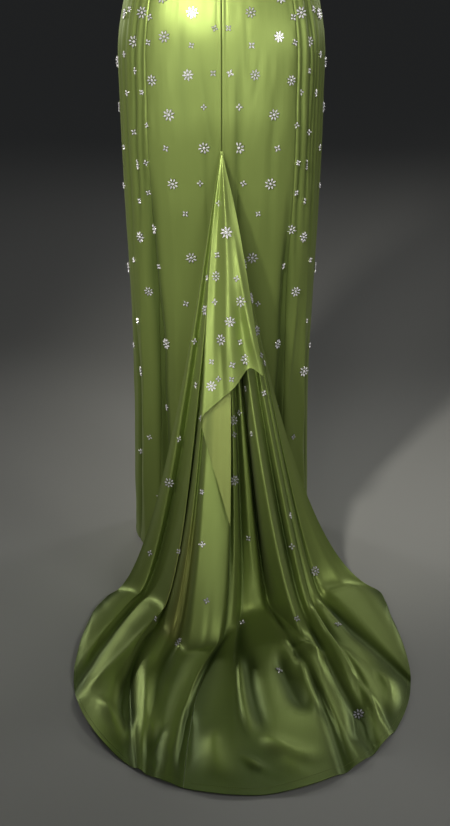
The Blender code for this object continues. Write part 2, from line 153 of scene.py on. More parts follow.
camera_data = bpy.data.cameras.new("camera")
camera_data.lens = LENS
camera_data.sensor_width = FILM
camera = bpy.data.objects.new("camera", camera_data)
camera.location = CAMERA_PLACE
camera.rotation_euler = (radians(90 - CAMERA_PITCH), 0.0, 0.0)
bpy.context.scene.collection.objects.link(camera)
bpy.context.scene.camera = camera


# ---- Skirt backs ----
# Two fitted panels of silk satin, cut from waist to hem and sewn down the centre back, where the turnings
# are stitched flat beside the seam. They hang from the waist and meet the front at the side back seams.
WAIST, HEM = 1.120, 0.006  # heights above the floor
APEX = 0.775  # where the train leaves the centre back seam
SIDE_BACK_SEAM = 43.0  # degrees round from the centre back
ROUNDNESS = 2.25  # exponent of the level sections: 2 is an ellipse
DEGREE = 0.0029  # metres round the hips for each degree
CLOTH = 0.0008
FADE_IN, FADE_OUT = 0.35, 0.62  # shares of a crease's length over which its ends die away
SEAM_DIP, SEAM_LINE = 0.0011, 0.0022  # depth and half width of the line where two panels meet
PUCKER_DIP, PUCKER_REACH = 0.0005, 0.007  # depth and half width of the puckers beside it
TURNING, TURNING_EDGE = 0.0007, 0.0040  # step of the flat turnings beside the centre seam, and their width
HEM_STEP, HEM_TOP = 0.0006, 0.0130  # thickness of the turned hem and its height
WAIST_TUCK, WAIST_EASE = 0.0012, 0.004  # how far the cloth dips into the waist seam, and from how far

BODY_SECTIONS = (
    # height, half_width, back, front
    (0.000, 0.168, 0.120, 0.118),
    (0.380, 0.162, 0.108, 0.104),
    (0.550, 0.167, 0.112, 0.098),
    (0.700, 0.172, 0.122, 0.098),
    (0.840, 0.174, 0.131, 0.100),
    (0.950, 0.172, 0.128, 0.100),
    (1.040, 0.152, 0.106, 0.094),
    (1.120, 0.126, 0.084, 0.083),
    (1.200, 0.132, 0.087, 0.092),
    (1.290, 0.145, 0.094, 0.104),
    (1.340, 0.144, 0.096, 0.100),
    (1.420, 0.134, 0.092, 0.086),
)

SKIRT_FOLDS = (
    # top height, degrees from centre back there, foot height, degrees there, half width in degrees, depth
    # centre of the back, where the train pulls on the seam
    (0.97, 6.9, 0.56, 6.2, 1.5, -0.0030),
    (0.99, 11.8, 0.86, 11.2, 1.2, -0.0012),
    (0.92, 3.6, 0.70, 2.6, 0.9, 0.0009),
    (0.95, 18.0, 0.84, 14.0, 1.8, -0.0010),
    (0.96, -9.5, 0.72, -3.4, 1.7, -0.0012),
    (0.84, -7.0, 0.55, -5.2, 1.5, -0.0016),
    (1.02, -21.0, 0.74, -17.0, 3.2, -0.0012),
    (0.90, 27.0, 0.55, 24.0, 3.0, -0.0012),
    (0.80, -28.0, 0.42, -25.0, 3.0, 0.0012),
    # the long folds that open towards the hem
    (0.80, -44.5, 0.00, -37.0, 4.2, -0.0110),
    (0.62, -57.0, -0.10, -59.0, 5.0, 0.0065),
    (0.60, -28.0, -0.10, -22.0, 4.5, 0.0050),
    (0.52, -70.0, -0.10, -72.0, 3.6, -0.0070),
    (0.74, 40.5, 0.00, 38.0, 4.0, -0.0100),
    (0.58, 62.0, -0.10, 64.0, 4.5, 0.0065),
    (0.56, 52.0, 0.28, 44.0, 1.8, 0.0030),
    (0.50, 74.0, -0.10, 76.0, 3.6, -0.0070),
    (0.56, 26.0, -0.10, 22.0, 4.5, 0.0045),
    # gathers that hang from the waist behind the wearer's right hip
    (1.09, 47.0, 0.50, 48.5, 1.5, -0.0032),
    (1.10, 50.0, 0.74, 50.6, 0.8, 0.0012),
    (1.10, 53.5, 0.58, 55.5, 1.3, -0.0040),
    (1.10, 58.3, 0.64, 59.5, 1.2, -0.0036),
    (1.10, 63.0, 0.52, 64.0, 1.5, -0.0030),
    (1.09, 68.5, 0.60, 70.0, 1.6, -0.0026),
    (1.09, 75.0, 0.55, 76.0, 2.0, -0.0024),
    (1.08, 83.0, 0.66, 84.0, 2.0, -0.0018),
    # softer ones behind the left hip
    (1.09, -46.5, 0.60, -48.0, 1.8, -0.0022),
    (1.10, -52.8, 0.56, -55.0, 2.1, -0.0036),
    (1.10, -58.0, 0.78, -59.5, 1.0, -0.0016),
    (1.09, -64.5, 0.50, -67.0, 2.6, -0.0026),
    (1.08, -74.0, 0.60, -75.0, 2.2, -0.0020),
    (1.08, -84.0, 0.68, -84.0, 2.0, -0.0014),
    # the front: a few long soft folds that spring from the waist and from the knees
    (1.08, 108.0, 0.45, 112.0, 3.0, -0.0018),
    (1.06, 134.0, 0.50, 130.0, 4.0, -0.0015),
    (1.05, 171.0, 0.62, 166.0, 3.4, -0.0013),
    (1.07, -152.0, 0.48, -158.0, 3.6, -0.0017),
    (1.08, -121.0, 0.55, -117.0, 3.2, -0.0019),
    (0.55, 100.0, -0.10, 96.0, 5.5, -0.0055),
    (0.60, 124.0, -0.10, 121.0, 6.0, 0.0050),
    (0.48, 147.0, -0.10, 150.0, 5.0, -0.0050),
    (0.52, 176.0, -0.10, 172.0, 6.5, 0.0045),
    (0.58, -161.0, -0.10, -164.0, 5.0, -0.0048),
    (0.46, -136.0, -0.10, -133.0, 6.0, 0.0052),
    (0.55, -110.0, -0.10, -108.0, 5.5, -0.0056),
    (0.50, -88.0, -0.10, -86.0, 4.5, 0.0035),
)


def ramp(value, start, end):
    """0 at start to 1 at end, with a soft start and finish."""
    t = np.clip((value - start) / (end - start), 0.0, 1.0)
    return t * t * (3 - 2 * t)


def smooth(known, values, at):
    """A curve through known points, without corners."""
    known, values, at = (np.asarray(v, float) for v in (known, values, at))
    slopes = np.gradient(values, known)
    i = np.clip(np.searchsorted(known, at, side="right") - 1, 0, len(known) - 2)
    gap = known[i + 1] - known[i]
    t = (at - known[i]) / gap
    rise = values[i] * (1 + 2 * t) * (1 - t) ** 2 + values[i + 1] * t * t * (3 - 2 * t)
    return rise + gap * (slopes[i] * t * (1 - t) ** 2 - slopes[i + 1] * t * t * (1 - t))


def column(table, index):
    return np.array([row[index] for row in table], float)


def drift(u, v, seed, u_step, v_step):
    """Smooth unevenness from -1 to 1, whose swells are u_step by v_step apart."""
    lattice = np.random.default_rng(seed).uniform(-1, 1, (61, 61))
    s, t = np.broadcast_arrays(u / u_step, v / v_step)
    i, j = np.floor(s).astype(int), np.floor(t).astype(int)
    s, t = ramp(s - i, 0.0, 1.0), ramp(t - j, 0.0, 1.0)

    def corner(a, b):
        return lattice[(i + a) % 61, (j + b) % 61]

    near = corner(0, 0) * (1 - s) + corner(1, 0) * s
    far = corner(0, 1) * (1 - s) + corner(1, 1) * s
    return near * (1 - t) + far * t


def creases(table, height, place, wander):
    """Sum of soft troughs and ridges, each along its own line and fading out at both of its ends."""
    total = np.zeros(np.broadcast(height, place).shape)
    for number, (top, top_place, foot, foot_place, width, depth) in enumerate(table):
        down = (top - height) / (top - foot)
        sway = wander * drift(height, 0.0 * place, number, 0.11, 1.0)
        line = top_place + (foot_place - top_place) * down + sway
        reach = ramp(down, 0.0, FADE_IN) * ramp(down, 1.0, FADE_OUT)
        unevenness = 1 + 0.25 * drift(height, 0.0 * place, 100 + number, 0.07, 1.0)
        total = total + depth * unevenness * reach * np.exp(-(np.abs((place - line) / width) ** 1.6))
    return total


def body_face(height, degrees):
    """The gown's outer form: 0 degrees is the centre back and 90 the wearer's right."""
    half_width, back, front = (
        smooth(column(BODY_SECTIONS, 0), column(BODY_SECTIONS, i), height) for i in (1, 2, 3)
    )
    s, c = np.sin(np.radians(degrees)), np.cos(np.radians(degrees))
    x = half_width * np.sign(s) * np.abs(s) ** (2 / ROUNDNESS)
    y = -np.where(c > 0, back, front) * np.sign(c) * np.abs(c) ** (2 / ROUNDNESS)
    return np.stack(np.broadcast_arrays(x, y, height + floor_level), axis=-1)


def away(degrees):
    """Level unit directions out of the gown."""
    turn = np.radians(np.float64(degrees))
    return np.stack([np.sin(turn), -np.cos(turn), 0 * turn], axis=-1)


def seam_roll(metres, height, seed):
    """How the cloth dips into a seam, with light puckers."""
    pucker = 1 + 0.45 * drift(height, 0.0 * metres, seed, 0.012, 1.0)
    dip = SEAM_DIP * np.exp(-((metres / SEAM_LINE) ** 2))
    return -dip - PUCKER_DIP * pucker * np.exp(-((metres / PUCKER_REACH) ** 2))


def skirt_face(height, degrees):
    """The skirt with its folds, its seams and its narrow turned hem."""
    wrapped = (degrees + 180.0) % 360.0 - 180.0
    relief = creases(SKIRT_FOLDS, height, wrapped, 0.9)
    broad_swell = 0.0005 * drift(height, wrapped, 7, 0.10, 9.0)
    relief += broad_swell + 0.00025 * drift(height, wrapped, 8, 0.045, 3.0)
    relief += seam_roll(np.abs(np.abs(wrapped) - SIDE_BACK_SEAM) * DEGREE, height, 9)
    from_centre = np.abs(wrapped) * DEGREE
    flat_turnings = ramp(height, APEX - 0.03, APEX + 0.02)
    raised = ramp(from_centre, TURNING_EDGE, 0.0026) - ramp(from_centre, 0.0008, 0.0)
    relief += flat_turnings * TURNING * raised
    relief -= flat_turnings * 0.0005 * np.exp(-(((from_centre - TURNING_EDGE - 0.0005) / 0.0010) ** 2))
    relief += HEM_STEP * ramp(height, HEM + HEM_TOP, HEM + HEM_TOP - 0.0015)
    relief -= WAIST_TUCK * ramp(height, WAIST - WAIST_EASE, WAIST)
    return body_face(height, degrees) + away(degrees) * relief[..., None]


def stations(length, count):
    """Shares from 0 to 1 along an edge, closer at both ends, where a seam or a hem turns the cloth."""
    close = np.array([0.0, 0.0006, 0.0012, 0.0019, 0.0027])
    inner = np.linspace(0.0036, length - 0.0036, count)
    return np.concatenate([close, inner, (length - close)[::-1]]) / length


def cloth_measure(face):
    """How far each point of a grid lies along the cloth in metres, across its columns and down its rows."""
    across = np.linalg.norm(np.diff(face, axis=1), axis=2)
    down = np.linalg.norm(np.diff(face, axis=0), axis=2)
    u = np.concatenate([np.zeros((face.shape[0], 1)), np.cumsum(across, axis=1)], axis=1)
    v = np.concatenate([np.zeros((1, face.shape[1])), np.cumsum(down, axis=0)], axis=0)
    return np.stack([u - u[:, [face.shape[1] // 2]], v], axis=-1)


def mix_colours(tree, factor, first, second):
    """A colour between two, each given as three numbers or as an output."""
    inputs = {"Factor": factor}
    for place, colour in ((6, first), (7, second)):
        inputs[place] = (*colour, 1.0) if isinstance(colour, tuple) else colour
    return add_node(tree, "ShaderNodeMix", {"data_type": "RGBA"}, inputs).outputs[2]


def streaks(tree, cut, across, along):
    """Uneven streaks along the cut of the cloth, so many to the metre across it and along it."""
    drawn_out = add_node(tree, "ShaderNodeMapping", {}, {"Vector": cut, "Scale": (across, along, 1.0)})
    inputs = {"Vector": drawn_out.outputs[0], "Scale": 1.0}
    return add_node(tree, "ShaderNodeTexNoise", {"noise_dimensions": "2D"}, inputs).outputs["Fac"]


def satin(name, face_colour, painted_shade_colour, painted_reflection_colour, metallic, roughness, weave):
    """Silk satin: floats that shine along the cut, an uneven weave, painted shade in the hollows, a painted
    warm reflection between folds.
    """
    made, shader = plain_material(name, face_colour, roughness, metallic)
    tree = made.node_tree
    cut = add_node(tree, "ShaderNodeUVMap", {"uv_map": "cut"}, {}).outputs["UV"]
    place = add_node(tree, "ShaderNodeTexCoord", {}, {}).outputs["Object"]
    # Painted shade: this attribute says how deep in a hollow each point lies, and darkens the colour there.
    depth = add_node(tree, "ShaderNodeAttribute", {"attribute_name": "fold_depth"}, {}).outputs["Fac"]
    # Painted reflection: where a warm golden reflection between folds is laid into the colour.
    painted_reflection_mask = add_node(tree, "ShaderNodeAttribute", {"attribute_name": "fold_glow"}, {}).outputs["Fac"]

    clouds = add_node(tree, "ShaderNodeTexNoise", {}, {"Vector": place, "Scale": 5.0, "Detail": 2.0})
    between = {"Value": clouds.outputs["Fac"], "From Min": 0.3, "From Max": 0.7, "To Max": 0.22}
    shade = add_node(tree, "ShaderNodeMapRange", {}, between).outputs["Result"]
    toned = mix_colours(tree, shade, face_colour, tuple(0.80 * c for c in face_colour))
    # Painted shade: the hollows are darkened towards the shade colour.
    with_painted_shade = mix_colours(tree, depth, toned, painted_shade_colour)
    # Painted reflection: the colour is tinted golden where the warm reflection between folds is painted.
    tree.links.new(mix_colours(tree, painted_reflection_mask, with_painted_shade, painted_reflection_colour), shader.inputs["Base Color"])

    slubs = streaks(tree, cut, 420.0, 14.0)
    threads = {"Height": streaks(tree, cut, 2600.0, 420.0), "Strength": weave, "Distance": 0.00012}
    weave_bump = add_node(tree, "ShaderNodeBump", {}, threads).outputs[0]
    uneven = {"Height": slubs, "Strength": weave, "Distance": 0.0002, "Normal": weave_bump}
    tree.links.new(add_node(tree, "ShaderNodeBump", {}, uneven).outputs[0], shader.inputs["Normal"])
    vary_roughness(shader, slubs, roughness - 0.04, roughness + 0.05)
    grain = add_node(tree, "ShaderNodeTangent", {"direction_type": "UV_MAP", "uv_map": "cut"}, {})
    tree.links.new(grain.outputs[0], shader.inputs["Tangent"])
    shader.inputs["Anisotropic"].default_value = 0.55
    shader.inputs["Sheen Weight"].default_value = 0.10
    shader.inputs["Sheen Roughness"].default_value = 0.45
    shader.inputs["Sheen Tint"].default_value = (0.86, 0.95, 0.52, 1.0)
    return made


FACE_GREEN, BACK_GREEN = (0.280, 0.365, 0.095), (0.275, 0.330, 0.085)
# The second colour is painted shade for the hollows of the folds, the third a painted warm reflection between
# folds.
PAINTED_SHADE_GREEN, PAINTED_REFLECTION_GOLD = (0.050, 0.085, 0.016), (0.250, 0.235, 0.055)
face_satin = satin("green_satin_face", FACE_GREEN, PAINTED_SHADE_GREEN, PAINTED_REFLECTION_GOLD, 0.60, 0.44, 0.35)
back_satin = satin("green_satin_wrong_side", BACK_GREEN, PAINTED_SHADE_GREEN, PAINTED_REFLECTION_GOLD, 0.50, 0.46, 0.40)


def cloth_piece(node, face, fold_depth, fold_glow=0.0):
    """A thin shell of satin out of a grid of points on its face, rows going down, in place of one solid."""
    name = "satin_" + node
    rows, columns = face.shape[:2]
    index = np.arange(rows * columns).reshape(rows, columns)
    corners = [index[:-1, :-1], index[1:, :-1], index[1:, 1:], index[:-1, 1:]]
    quads = np.stack(corners, axis=-1).reshape(-1, 4)
    mesh = bpy.data.meshes.new(name)
    mesh.from_pydata(face.reshape(-1, 3).tolist(), [], quads.tolist())
    cut = mesh.uv_layers.new(name="cut")
    measured = cloth_measure(face).reshape(-1, 2)[quads.ravel()]
    cut.uv.foreach_set("vector", measured.astype(np.float32).ravel())
    # Amounts of painted shade in the hollows and of a painted warm reflection between folds, for the satin's
    # colour.
    for title, values in (("fold_depth", fold_depth), ("fold_glow", fold_glow)):
        tint = mesh.attributes.new(title, "FLOAT", "POINT")
        tint.data.foreach_set("value", np.broadcast_to(values, (rows, columns)).astype(np.float32).ravel())
    mesh.materials.append(face_satin)
    mesh.materials.append(back_satin)
    mesh.shade_smooth()
    piece = bpy.data.objects.new(name, mesh)
    bpy.context.scene.collection.objects.link(piece)
    wall = piece.modifiers.new("wall", "SOLIDIFY")
    wall.thickness = CLOTH
    wall.offset = -1.0
    wall.material_offset = 1
    wall.material_offset_rim = 0
    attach(piece, "root")
    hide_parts(node)
    return piece


def skirt_piece(name, first, last, columns, rows):
    """A skirt panel between two seams, given in degrees from the centre back."""
    shares = stations((last - first) * DEGREE, columns)
    degrees = first + (last - first) * shares[None, :]
    height = WAIST + (HEM - WAIST) * stations(WAIST - HEM, rows)[:, None]
    wrapped = (degrees + 180.0) % 360.0 - 180.0
    # Painted shade: darker in the troughs of the skirt's folds.
    painted_shade = np.clip(-creases(SKIRT_FOLDS, height, wrapped, 0.9) / 0.009, 0.0, 0.6)
    return cloth_piece(name, skirt_face(height, degrees), painted_shade)


skirt_back_left = skirt_piece("skirt_back_left", -SIDE_BACK_SEAM, -0.05, 84, 230)
skirt_back_right = skirt_piece("skirt_back_right", 0.05, SIDE_BACK_SEAM, 84, 230)


# ---- Skirt front ----
# One satin panel, cut on the fold with no side seams, that wraps round both hips to the side back seams.
# Its width is eased and gathered into the waist seam over the hips.
skirt_front = skirt_piece("skirt_front", SIDE_BACK_SEAM + 0.1, 360.0 - SIDE_BACK_SEAM - 0.1, 230, 170)


# ---- Bodice ----
# A fitted satin bodice of three panels: a front that darts shape into two cups, and two backs that meet at
# the centre back. The top edge is turned under and stitched.
BODICE_TOP = (
    # degrees from centre back, height
    (0.0, 1.185),
    (20.0, 1.218),
    (40.0, 1.262),
    (65.0, 1.305),
    (90.0, 1.325),
    (115.0, 1.338),
    (142.0, 1.384),
    (160.0, 1.350),
    (180.0, 1.312),
)
CUP_OFFSET, CUP_HEIGHT, CUP_DEPTH = 0.066, 1.280, 0.020
CUP_WIDTH, CUP_TALL = 0.046, 0.052
BODICE_FOLDS = (
    # top height, degrees from centre back there, foot height, degrees there, half width in degrees, depth
    # waist darts under the cups, and the tucks that run from the side into them
    (1.265, 150.0, 1.10, 153.0, 1.6, -0.0016),
    (1.265, -150.0, 1.10, -153.0, 1.6, -0.0016),
    (1.22, 118.0, 1.10, 112.0, 3.0, -0.0012),
    (1.23, -116.0, 1.10, -111.0, 3.0, -0.0013),
    (1.20, 98.0, 1.10, 101.0, 2.0, 0.0009),
    (1.19, -100.0, 1.10, -97.0, 2.2, 0.0010),
    # drag lines at the waist of the backs
    (1.19, 30.0, 1.09, 24.0, 2.4, -0.0010),
    (1.20, -33.0, 1.09, -26.0, 2.6, -0.0011),
    (1.24, 58.0, 1.10, 54.0, 2.2, -0.0009),
    (1.23, -60.0, 1.10, -57.0, 2.4, -0.0010),
)


def bodice_face(height, degrees):
    """The bodice with its two cups, its darts and its stitched top edge."""
    wrapped = (degrees + 180.0) % 360.0 - 180.0
    point = body_face(height, degrees)
    across = (np.abs(point[..., 0]) - CUP_OFFSET) / CUP_WIDTH
    up = (height - CUP_HEIGHT) / CUP_TALL
    point[..., 1] += np.where(point[..., 1] > 0, CUP_DEPTH * np.exp(-across * across - up * up), 0.0)
    relief = creases(BODICE_FOLDS, height, wrapped, 0.5)
    relief += 0.0003 * drift(height, wrapped, 21, 0.03, 6.0)
    relief += seam_roll(np.abs(wrapped) * DEGREE, height, 22)
    relief += seam_roll(np.abs(np.abs(wrapped) - 90.0) * DEGREE, height, 23)
    top = smooth(column(BODICE_TOP, 0), column(BODICE_TOP, 1), np.abs(wrapped))
    relief += 0.0005 * ramp(height, top - 0.0075, top - 0.0065)
    relief -= WAIST_TUCK * ramp(height, WAIST + WAIST_EASE, WAIST)
    return point + away(degrees) * relief[..., None]


def bodice_piece(name, first, last, columns, rows):
    degrees = first + (last - first) * stations((last - first) * DEGREE, columns)[None, :]
    wrapped = np.abs((degrees + 180.0) % 360.0 - 180.0)
    top = smooth(column(BODICE_TOP, 0), column(BODICE_TOP, 1), wrapped)
    height = top + (WAIST + 0.0003 - top) * stations(0.15, rows)[:, None]
    return cloth_piece(name, bodice_face(height, degrees), 0.0)


bodice_back_left = bodice_piece("bodice_back_left", -89.95, -0.05, 74, 44)
bodice_back_right = bodice_piece("bodice_back_right", 0.05, 89.95, 74, 44)
bodice_front = bodice_piece("bodice_front", 90.05, 269.95, 150, 60)


# ---- Straps ----
# Two narrow satin straps, each a tube turned through and pressed flat, sewn to the back and to the point
# of the front. They take the gown's whole weight.
STRAP_WIDTH = 0.009
STRAP_BACK, STRAP_FRONT = 40.0, 142.0  # degrees from the centre back
STRAP_OVER_SHOULDER = (
    # x, y, height of the strap's underside, from back to front
    (0.0940, -0.0990, 1.320),
    (0.0940, -0.0900, 1.390),
    (0.0950, -0.0620, 1.440),
    (0.0960, -0.0200, 1.459),
    (0.0940, 0.0150, 1.459),
    (0.0900, 0.0500, 1.438),
)


def strap_piece(name, side):
    ends = [
        bodice_face(np.float64(smooth(column(BODICE_TOP, 0), column(BODICE_TOP, 1), a)), np.float64(a))
        for a in (STRAP_BACK, STRAP_FRONT)
    ]
    over = np.array(STRAP_OVER_SHOULDER) + (0.0, 0.0, floor_level)
    known = np.vstack([ends[0], over, ends[1]])
    at = np.linspace(0, len(known) - 1, 120)
    middle = np.stack([smooth(np.arange(len(known)), known[:, i], at) for i in range(3)], axis=1)
    along = np.gradient(middle, axis=0)
    out = np.stack([0 * at, -along[:, 2], along[:, 1]], axis=1)
    out /= np.linalg.norm(out, axis=1, keepdims=True)
    across = np.linspace(-1.0, 1.0, 13)[None, :, None]
    crown = 0.0012 - 0.0005 * np.abs(across) ** 4 + 0.0001 * np.cos(across * 2.2 * pi)
    width = np.array((side * STRAP_WIDTH / 2, 0.0, 0.0))
    face = middle[:, None, :] * (side, 1, 1) + across * width + out[:, None, :] * crown
    return cloth_piece(name, face[::-1, ::-1], 0.0)


for strap in (strap_piece("strap_left", -1), strap_piece("strap_right", 1)):
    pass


# ---- Train ----
# Two halves of a fan of satin, gathered to a point at the centre back seam, where they are sewn in. The
# folds fall from there, spread on the floor and end in a narrow hem. The halves join along the deep gap.
TRAIN_LINES = (
    # number, mid_x, land_x, land_y, bend_x, bend_y, hem_angle, hang, lift, brk, lean, from left to right:
    # mid_x is the line's place at shin height, land where it meets the floor, bend the way it turns there,
    # hang its stand-off in the air, lift on the floor, brk how sharply it breaks, lean how its crest rolls
    (0, -0.1050, -0.196, -0.235, -0.220, -0.275, -15.0, 0.000, 0.000, 0.00, 0.000),
    (1, -0.0945, -0.160, -0.265, -0.208, -0.370, -2.0, 0.012, 0.013, 0.00, 0.003),
    (2, -0.0780, -0.148, -0.268, -0.196, -0.400, 13.0, -0.007, 0.001, 0.00, -0.002),
    (3, -0.0635, -0.116, -0.335, -0.165, -0.470, 26.0, 0.015, 0.024, 0.02, 0.006),
    (4, -0.0520, -0.112, -0.355, -0.172, -0.485, 52.0, -0.014, 0.000, 0.06, -0.004),
    (5, -0.0455, -0.095, -0.385, -0.142, -0.500, 56.0, 0.005, 0.011, 0.10, 0.001),
    (6, -0.0385, -0.076, -0.400, -0.118, -0.510, 59.0, -0.007, 0.002, 0.12, 0.000),
    (7, -0.0260, -0.055, -0.430, -0.095, -0.530, 62.0, 0.004, 0.005, 0.16, 0.000),
    (8, 0.0085, -0.013, -0.412, -0.074, -0.530, 66.0, 0.008, 0.009, 0.16, 0.003),
    (9, 0.0160, 0.007, -0.390, -0.052, -0.512, 71.5, -0.014, 0.000, 0.14, -0.003),
    (10, 0.0230, 0.023, -0.354, -0.004, -0.520, 84.0, 0.007, 0.006, 0.18, 0.001),
    (11, 0.0295, 0.034, -0.328, 0.022, -0.530, 96.0, -0.012, 0.001, 0.14, -0.001),
    (12, 0.0415, 0.068, -0.312, 0.090, -0.460, 115.0, 0.012, 0.013, 0.14, 0.003),
    (13, 0.0535, 0.090, -0.300, 0.153, -0.473, 122.0, -0.018, 0.000, 0.06, -0.003),
    (14, 0.0680, 0.136, -0.390, 0.160, -0.550, 128.0, 0.018, 0.012, 0.12, 0.002),
    (15, 0.0920, 0.152, -0.345, 0.178, -0.470, 134.0, -0.016, 0.000, 0.02, -0.002),
    (16, 0.1020, 0.158, -0.330, 0.200, -0.480, 141.0, 0.009, 0.018, 0.00, 0.003),
    (17, 0.1110, 0.168, -0.310, 0.205, -0.445, 147.0, -0.003, 0.003, 0.00, -0.002),
    (18, 0.1150, 0.176, -0.295, 0.222, -0.430, 156.0, 0.001, 0.008, 0.00, 0.000),
    (19, 0.1187, 0.184, -0.275, 0.232, -0.385, 170.0, -0.006, 0.000, 0.00, -0.002),
    (20, 0.1225, 0.205, -0.245, 0.262, -0.345, 177.0, 0.006, 0.016, 0.00, 0.000),
    (21, 0.1365, 0.285, -0.222, 0.292, -0.275, 196.0, 0.000, 0.000, 0.00, 0.000),
)
CENTRE_GAP = 9.0
HEM_CENTRE = (0.033, -0.460)
HEM_HALF_WIDTH, HEM_REACH, HEM_RETURN = 0.272, 0.310, 0.560
TRAIN_TOP_HALF_WIDTH, TRAIN_TOP_CLEARANCE = 0.0022, 0.0035
MID_SHARE = 0.48
LAND_SHARE = 8 / 13
LYING, THINNEST = 0.0024, 0.0011  # height of the face of the cloth where it lies flat, and its least height
TRAIN_LENGTH, LINE_GAP = 1.15, 0.03  # metres from the point to the hem, and between two lines
REFLECTING_FOLD_LINE = 5.4  # the fold along which a warm reflection is painted
EVEN_ROWS = 391
PLAN_SOFTNESS, SIDE_SOFTNESS = 22.0, 15.0  # rows of the even grid over which the train's corners round
CRISP_PLAN, CRISP_SIDE = 9.0, 6.0  # the same where a line breaks sharply on the floor
CRISP_SHARE, SHARP_BREAK = 0.6, 0.12
HANG_SHARPNESS, LIFT_SHARPNESS = 1.35, 1.6  # how narrow the valleys are, in the air and on the floor
FLATTENING = 0.65  # share of a crest that has died away at the hem
HEM_FADE = 0.93  # share of the way to the hem from which the folds on the floor die away


def across_folds(values, line, sharpness):
    """A value of each fold line carried across, with broad crests and narrow valleys."""
    i = np.clip(np.floor(line).astype(int), 0, len(values) - 2)
    t = line - i
    falling = column(TRAIN_LINES, 7)[i] >= column(TRAIN_LINES, 7)[i + 1]
    t = np.where(falling, t**sharpness, 1 - (1 - t) ** sharpness)
    return values[i] + (values[i + 1] - values[i]) * (1 - np.cos(pi * t)) / 2


def train_base(line, share):
    """The train without its folds, for a row of places among the lines and a column of shares."""
    numbers = column(TRAIN_LINES, 0)
    mid_x, land_x, land_y, bend_x, bend_y, hem = (
        smooth(numbers, column(TRAIN_LINES, i), line) for i in (1, 2, 3, 4, 5, 6)
    )
    top_x = TRAIN_TOP_HALF_WIDTH * (2 * line / numbers[-1] - 1)
    top_y = body_face(np.float64(APEX), np.float64(0.0))[1] - TRAIN_TOP_CLEARANCE
    turn = np.radians(hem)
    hem_x = HEM_CENTRE[0] - HEM_HALF_WIDTH * np.cos(turn)
    hem_y = HEM_CENTRE[1] - np.where(np.sin(turn) > 0, HEM_REACH, HEM_RETURN) * np.sin(turn)
    q = np.clip(share / LAND_SHARE, 0.0, 1.0)
    p = np.clip((share - LAND_SHARE) / (1 - LAND_SHARE), 0.0, 1.0)
    m = MID_SHARE
    hang_x = top_x * (q - m) * (q - 1) / m + mid_x * q * (q - 1) / (m * (m - 1))
    hang_x = hang_x + land_x * q * (q - m) / (1 - m)
    hang_y = top_y + (land_y - top_y) * q
    lie_x = land_x * (1 - p) ** 2 + 2 * bend_x * p * (1 - p) + hem_x * p * p
    lie_y = land_y * (1 - p) ** 2 + 2 * bend_y * p * (1 - p) + hem_y * p * p
    over = 1 / (1 + across_folds(column(TRAIN_LINES, 9), line, 1.0))
    drop = ((1 - q * over) ** 2 - (1 - over) ** 2) / (1 - (1 - over) ** 2)
    landed = share > LAND_SHARE
    x, y = np.where(landed, lie_x, hang_x), np.where(landed, lie_y, hang_y)
    return np.stack([x, y, LYING + (APEX - LYING) * drop + floor_level], axis=-1)


def soften(grid, reach):
    """Rounds the corners of a grid down its rows, over a reach in rows. Its first and last row are kept."""
    span = int(3 * reach)
    weights = np.exp(-0.5 * (np.arange(-span, span + 1) / reach) ** 2)
    before = 2 * grid[:1] - grid[span:0:-1]
    after = 2 * grid[-1:] - grid[-2 : -span - 2 : -1]
    longer = np.concatenate([before, grid, after])
    rounded = np.zeros(grid.shape)
    for step, weight in enumerate(weights / weights.sum()):
        rounded += weight * longer[step : step + len(grid)]
    return rounded


